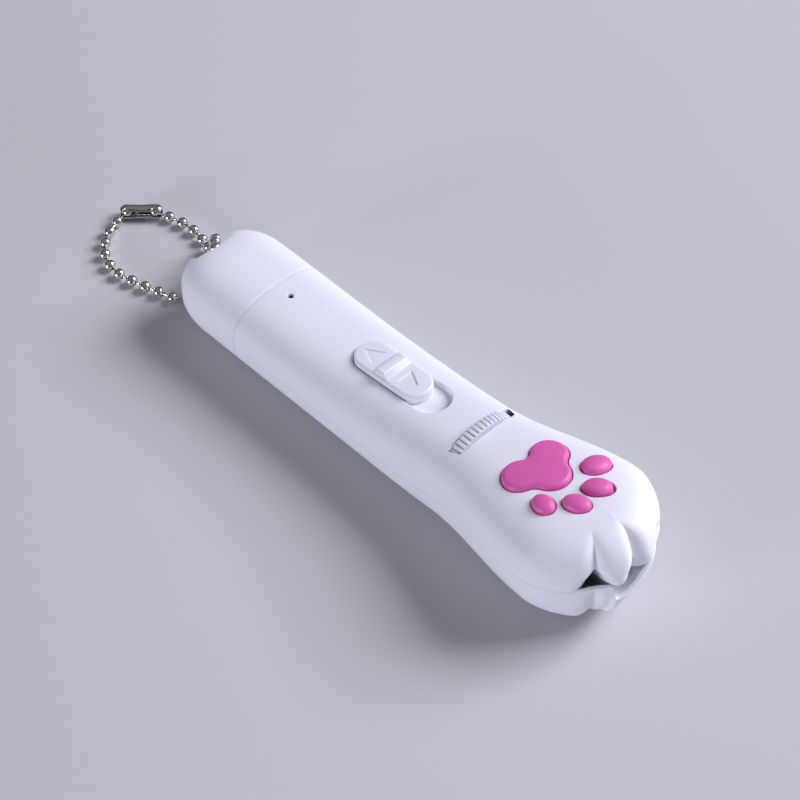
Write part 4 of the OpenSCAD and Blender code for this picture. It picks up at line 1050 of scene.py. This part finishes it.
class POINTER_OT_slide_button(bpy.types.Operator):
    """Slide button with its thumb ridge and two sunk arrowheads"""
    bl_idname = "pointer.slide_button"
    bl_label = "Slide button"

    def execute(self, context):
        d = sizes()
        home = slide_matrix(d) @ Matrix.Translation((d.ridge_x - d.recess_x, 0, 0))
        outline = [(x + d.button_l/2 - d.button_rear, y) for x, y in stadium(d.button_l, d.button_w, 24)]
        top, edge_r, foot = d.button_rise, 0.55, 0.1
        rings = [[(x, y, foot - d.recess_d) for x, y in outline], [(x, y, top - edge_r) for x, y in outline]]
        for degrees in (18, 36, 54, 72, 90):
            s, c = turn(degrees)
            rings.append([(x, y, top - edge_r + edge_r*s) for x, y in offset(outline, -edge_r*(1 - c))])
        piece = loft("slide_button_skin", rings, home)
        cut(piece, [self.ridge(d, home)], "UNION")
        for tip, base in ((-8.15, -3.9), (7.8, 3.6)):
            cut(piece, [self.arrow_cutter(tip, base, top, home)])
        leg_half_l, leg_half_w, leg_low, leg_high = 1.5, 1.3, -4.4, -1.3
        stem = [(-leg_half_l, -leg_half_w), (leg_half_l, -leg_half_w), (leg_half_l, leg_half_w),
                (-leg_half_l, leg_half_w)]
        join("slide_button_skin", [piece, prism("leg", stem, leg_low, leg_high, home)])
        dress(piece, button_material(), "slider", "button_white", "slide_button", angle=35)
        return {"FINISHED"}

    def ridge(self, d, home):
        """Thumb ridge: a step up from the rear and a lower step in front, with rounded ends."""
        root, side_gap = 0.4, 0.4
        half = d.button_w/2 - side_gap
        # Run along the button and rise above its top
        profile = [(-2.3, -root), (-2.3, 0), (-1.75, 0.12), (-1.45, 0.38), (-1.3, 0.85), (-1.12, 1.03),
                   (-0.85, 1.1), (0.75, 1.1), (1.0, 1.03), (1.16, 0.85), (1.3, 0.5), (1.45, 0.4),
                   (1.75, 0.36), (1.95, 0.26), (2.1, 0.08), (2.5, 0), (2.5, -root)]
        # Distance from an end of the ridge and share of the full rise
        ends = ((0, 0.5), (0.12, 0.82), (0.35, 1.0))
        stations = [(-half + run, share) for run, share in ends]
        stations += [(half - run, share) for run, share in reversed(ends)]
        low = d.button_rise - root
        rings = [[(x, y, low + (rise + root)*(share if rise > 0 else 1)) for x, rise in profile]
                 for y, share in stations]
        return loft("ridge", rings, home)

    def arrow_cutter(self, tip, base, top, home):
        """Cutter of a sunk arrowhead with sloping walls."""
        half_w = math.copysign(2.25, base - tip)
        middle = (tip + 2*base)/3
        corners = [(tip, 0), (base, -half_w), (base, half_w)]
        # Share of the arrowhead's size at two heights from the button's top
        slope = ((0.9, -0.24), (1.2, 0.48))
        rings = [[(middle + (x - middle)*share, y*share, top + z) for x, y in corners] for share, z in slope]
        return loft("arrow", rings, home)


class POINTER_OT_wheel(bpy.types.Operator):
    """Thumbwheel with its ribs"""
    bl_idname = "pointer.wheel"
    bl_label = "Thumbwheel"

    def execute(self, context):
        d = sizes()
        ribs, depth, lead = 58, 0.5, 0.14
        # One rib: share of the pitch and share of the groove's depth
        rib = ((0.0, 0.0), (0.14, 0.0), (0.28, 0.0), (0.34, 0.1), (0.4, 0.45), (0.46, 0.92),
               (0.55, 1.0), (0.74, 1.0), (0.82, 0.92), (0.88, 0.45), (0.94, 0.1))
        outline = [(math.tau*(i + share - lead)/ribs, drop*depth) for i in range(ribs) for share, drop in rib]
        half = d.wheel_t/2
        # Rim of the wheel: distance from a face and inset
        rim = ((0, 1.2), (0, 0.22), (0.05, 0.1), (0.2, 0.0))
        stations = [(-half + run, inset) for run, inset in rim]
        stations += [(half - run, inset) for run, inset in reversed(rim)]
        rings = []
        for x, inset in stations:
            radii = [(a, d.wheel_r - max(drop, inset)) for a, drop in outline]
            rings.append([(d.wheel_x + x, r*math.sin(a), d.wheel_z + r*math.cos(a)) for a, r in radii])
        piece = loft("pattern_wheel_skin", rings)

        def turned(name, profile):
            return loft(name, [[(d.wheel_x + x, y, d.wheel_z + z) for y, z in circle(r, 48)]
                               for x, r in profile])

        cut(piece, [turned("hub", ((-2.5, 2.3), (-2.3, 2.5), (2.3, 2.5), (2.5, 2.3)))], "UNION")
        cut(piece, [turned("bore", ((-4, 1.0), (4, 1.0)))])
        dress(piece, button_material(), "wheel", "button_white", "pattern_wheel", angle=35)
        return {"FINISHED"}


def pad_piece(d, name, outline, matrix, depth, rise, edge, crown):
    """Silicone pad: straight sides in its pocket, a round edge and a gently crowned top."""
    edge_steps, edge_share, top_steps = 9, 0.92, 12
    cx = sum(p[0] for p in outline)/len(outline)
    cy = sum(p[1] for p in outline)/len(outline)

    def over(points, height):
        return [(x, y, back_height(d, matrix, x, y) + height) for x, y in points]

    rings = [[(x, y, -depth) for x, y in outline], over(outline, rise - edge)]
    for k in range(1, edge_steps + 1):
        s, c = turn(90*k/edge_steps)
        rings.append(over(offset(outline, -edge*(1 - c)*edge_share), rise - edge + edge*s))
    last = offset(outline, -edge*edge_share)
    for k in range(1, top_steps):
        share = 1 - k/top_steps
        ring = [(cx + (x - cx)*share, cy + (y - cy)*share) for x, y in last]
        rings.append(over(ring, rise + crown*(1 - share*share)))
    return loft(name, rings, matrix)


def dome_piece(name, outline, matrix, depth, rise, n):
    """Small silicone pad: straight sides in its pocket and a soft dome above."""
    rings = [[(x, y, -depth) for x, y in outline]]
    for degrees in (0, 5, 10, 16, 23, 31, 40, 50, 60, 69, 77, 83, 87, 89, 89.8):
        s, c = turn(degrees)
        rings.append([(x*c**(2/n), y*c**(2/n), rise*s**(2/n)) for x, y in outline])
    return loft(name, rings, matrix)


class POINTER_OT_pads(bpy.types.Operator):
    """Soft pads of the paw"""
    bl_idname = "pointer.pads"
    bl_label = "Pads"

    def execute(self, context):
        d = sizes()
        # Soft pink with a dull sheen; light goes a little way in and rounds off the shading
        pink = shared("silicone_pink", plastic, hue("pads"), rough=0.46, grain=0.08, bump=0.08, soft=0.18)
        main_depth, main_edge, main_crown = 1.35, 1.1, 0.16
        main_place = back_matrix(d, d.pad_x, 0)
        main = pad_piece(d, "main_pad_skin", main_outline(), main_place, main_depth, d.pad_rise, main_edge,
                         main_crown)
        dress(main, pink, "handle", "pad_pink", "main_pad", angle=60)
        toe_depth, fullness = 0.95, 2.25
        toes = []
        for x, y, spin, l, w in toe_places(d):
            place = back_matrix(d, x, y, spin)
            toes.append(dome_piece("toe", toe_outline(l, w), place, toe_depth, d.toe_rise, fullness))
        # The photo shows pink in the gap in front of the far inner pad
        base_gap, base_low, base_high = 0.3, -0.94, -0.8
        x, y, spin, l, w = toe_places(d)[FAR_INNER]
        base = long_outline(l + base_gap, w + base_gap)
        toes.append(prism("base", base, base_low, base_high, back_matrix(d, x, y, spin)))
        dress(join("toe_pads_skin", toes), pink, "handle", "pad_pink", "toe_pads", angle=60)
        return {"FINISHED"}


class POINTER_OT_inner_parts(bpy.types.Operator):
    """Finishes of the plug, the lamps, the laser and the electrics"""
    bl_idname = "pointer.inner_parts"
    bl_label = "Inner parts"

    def execute(self, context):
        # Grey mirror with soft highlights
        steel = shared("tin_plated_steel", metal, srgb("#C9CBD0"), rough=0.24)
        # Warm yellow gleam with fine lines
        brass = shared("turned_brass", metal, hue("brass"), rough=0.22)
        # Reddish gleam
        bronze = shared("phosphor_bronze", metal, srgb("#B98A55"), rough=0.25)
        # Dull and nearly black, so that it reads as shade behind the windows
        dark = shared("nylon_dark", plastic, hue("dark"), rough=0.5)
        # Black with a fairly clear gloss
        film = shared("printed_film_black", plastic, srgb("#17171B"), rough=0.3)
        # Plain white with a soft gloss
        pbt = shared("pbt_white", plastic, srgb("#EDEDED"), rough=0.4)
        # Glossy green with a fine ripple
        mask = shared("solder_mask_green", plastic, hue("board"), rough=0.3, grain=0.4, bump=0.2)
        # Glossy blue film, slightly wavy
        sleeve = shared("shrink_sleeve_blue", plastic, hue("cell"), rough=0.25, grain=0.8, bump=0.2)
        # Clear red drop
        red = shared("lamp_resin_red", clear, srgb("#D8442E"))
        # Dark glassy dot
        smoke = shared("acrylic_smoke", clear, srgb("#3A3D48"))
        # Colourless glassy lens
        lens = shared("acrylic_clear", clear, srgb("#F4F7FA"))
        # Colourless lamp with a warm cast
        epoxy = shared("epoxy_clear", clear, srgb("#FBFAF0"))
        # Pale violet lamp
        violet = shared("epoxy_violet", clear, srgb("#C9B8F2"))
        finishes = {
            "chain_pin": steel, "wheel_axle": steel, "board_screws": steel, "plug_shell": steel,
            "switch_case": steel, "laser_diode": steel, "laser_barrel": brass, "plug_contacts": brass,
            "detent_spring": bronze, "lamp_holder": dark, "switch_lever": dark, "pattern_disc": film,
            "plug_tongue": pbt, "circuit_board": mask, "battery_cell": sleeve, "charge_lamp": red,
            "light_pipe": smoke, "laser_lens": lens, "white_lamp": epoxy, "violet_lamp": violet,
        }
        for node, material in finishes.items():
            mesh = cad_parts[node].data
            mesh.materials.clear()
            mesh.materials.append(material)
        return {"FINISHED"}


def lamp(name, place, aim, size, power, tone):
    """Soft square studio lamp."""
    light = bpy.data.lights.new(name, "AREA")
    light.shape = "SQUARE"
    light.size = size
    light.energy = power
    light.color = tone
    thing = bpy.data.objects.new(name, light)
    thing.location = place
    thing.rotation_euler = (Vector(aim) - Vector(place)).to_track_quat("-Z", "Y").to_euler()
    bpy.context.scene.collection.objects.link(thing)


class POINTER_OT_stage(bpy.types.Operator):
    """Studio table, soft lamps and the camera"""
    bl_idname = "pointer.stage"
    bl_label = "Stage"

    def execute(self, context):
        scene = context.scene
        bpy.ops.mesh.primitive_plane_add(size=6, location=(0, 0, 0))
        floor = context.active_object
        floor.name = "studio_table"
        # Even light grey without gloss, with a trace of fibre
        material, tree, shader, place = new_material("paper_grey")
        fibre_size = 1.1111
        fibre = noise(tree, place, fibre_size, 3.0)
        tree.links.new(tint(tree, fibre, hue("floor"), low=0.985, high=1.01), shader.inputs["Base Color"])
        shader.inputs["Roughness"].default_value = 0.75
        shader.inputs["Specular IOR Level"].default_value = 0.2
        floor.data.materials.append(material)
        cool = (0.88, 0.89, 1.0)
        # Places, aims and sizes in metres, powers in watts
        lamp("key_lamp", place=(0.61, 1.29, 1.17), aim=(0, 0, 0), size=1.0, power=41.5, tone=cool)
        lamp("fill_lamp", place=(-0.16, -1.1, 0.16), aim=(0, 0, 0), size=0.3, power=5.6, tone=cool)
        lamp("front_lamp", place=(1.15, -0.05, 0.12), aim=(0.05, 0, 0.01), size=0.4, power=1.6, tone=cool)
        world = bpy.data.worlds.new("studio_air")
        world.use_nodes = True
        tree = world.node_tree
        sight = put(tree, "ShaderNodeTexCoord").outputs["Generated"]
        way = put(tree, "ShaderNodeSeparateXYZ", links={"Vector": sight})
        ramp = put(tree, "ShaderNodeValToRGB", links={"Fac": way.outputs["Z"]})
        low, high = ramp.color_ramp.elements
        low.color = (0.16, 0.16, 0.18, 1)
        high.color = (*cool, 1)
        sky = tree.nodes["Background"]
        tree.links.new(ramp.outputs["Color"], sky.inputs["Color"])
        sky.inputs["Strength"].default_value = 0.23
        scene.world = world
        # Size of the photo, focal length and optical middle in pixels, from the camera fit
        photo_px, focal_px, middle_x_px, middle_y_px = 800, 2898, 409.07, 444.64
        camera = bpy.data.cameras.new("photo_camera")
        camera.sensor_fit = "HORIZONTAL"
        camera.sensor_width = 36
        camera.lens = focal_px/photo_px*camera.sensor_width
        camera.shift_x = (photo_px/2 - middle_x_px)/photo_px
        camera.shift_y = (middle_y_px - photo_px/2)/photo_px
        camera.clip_start = 0.01
        eye = bpy.data.objects.new("photo_camera", camera)
        eye.location = (0.27572, -0.26989, 0.45914)
        eye.rotation_euler = (Vector((-0.0006, 0, 0)) - eye.location).to_track_quat("-Z", "Y").to_euler()
        scene.collection.objects.link(eye)
        scene.camera = eye
        scene.view_settings.view_transform = "Standard"
        return {"FINISHED"}


class POINTER_PT_panel(bpy.types.Panel):
    """Sizes, colours and building steps of the pointer"""
    bl_idname = "POINTER_PT_panel"
    bl_label = "Paw laser pointer"
    bl_space_type = "VIEW_3D"
    bl_region_type = "UI"
    bl_category = "Pointer"

    def draw(self, context):
        for group in (context.scene.pointer_sizes, context.scene.pointer_colours):
            box = self.layout.box()
            for key in type(group).__annotations__:
                box.prop(group, key)
        for step in STEPS:
            self.layout.operator(step.bl_idname)


STEPS = (POINTER_OT_stage, POINTER_OT_chain, POINTER_OT_top_shell, POINTER_OT_bottom_shell, POINTER_OT_cap,
         POINTER_OT_slide_button, POINTER_OT_wheel, POINTER_OT_pads, POINTER_OT_inner_parts)
CLASSES = (PointerSizes, PointerColours, *STEPS, POINTER_PT_panel)


def register():
    """Adds the classes and the settings to Blender."""
    for item in CLASSES:
        bpy.utils.register_class(item)
    bpy.types.Scene.pointer_sizes = bpy.props.PointerProperty(type=PointerSizes)
    bpy.types.Scene.pointer_colours = bpy.props.PointerProperty(type=PointerColours)


def unregister():
    """Takes the classes and the settings out of Blender."""
    del bpy.types.Scene.pointer_colours
    del bpy.types.Scene.pointer_sizes
    for item in reversed(CLASSES):
        bpy.utils.unregister_class(item)


def main():
    """Builds the stage and every piece."""
    register()
    for step in STEPS:
        group, name = step.bl_idname.split(".")
        getattr(getattr(bpy.ops, group), name)()
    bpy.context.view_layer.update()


if __name__ == "__main__":
    main()
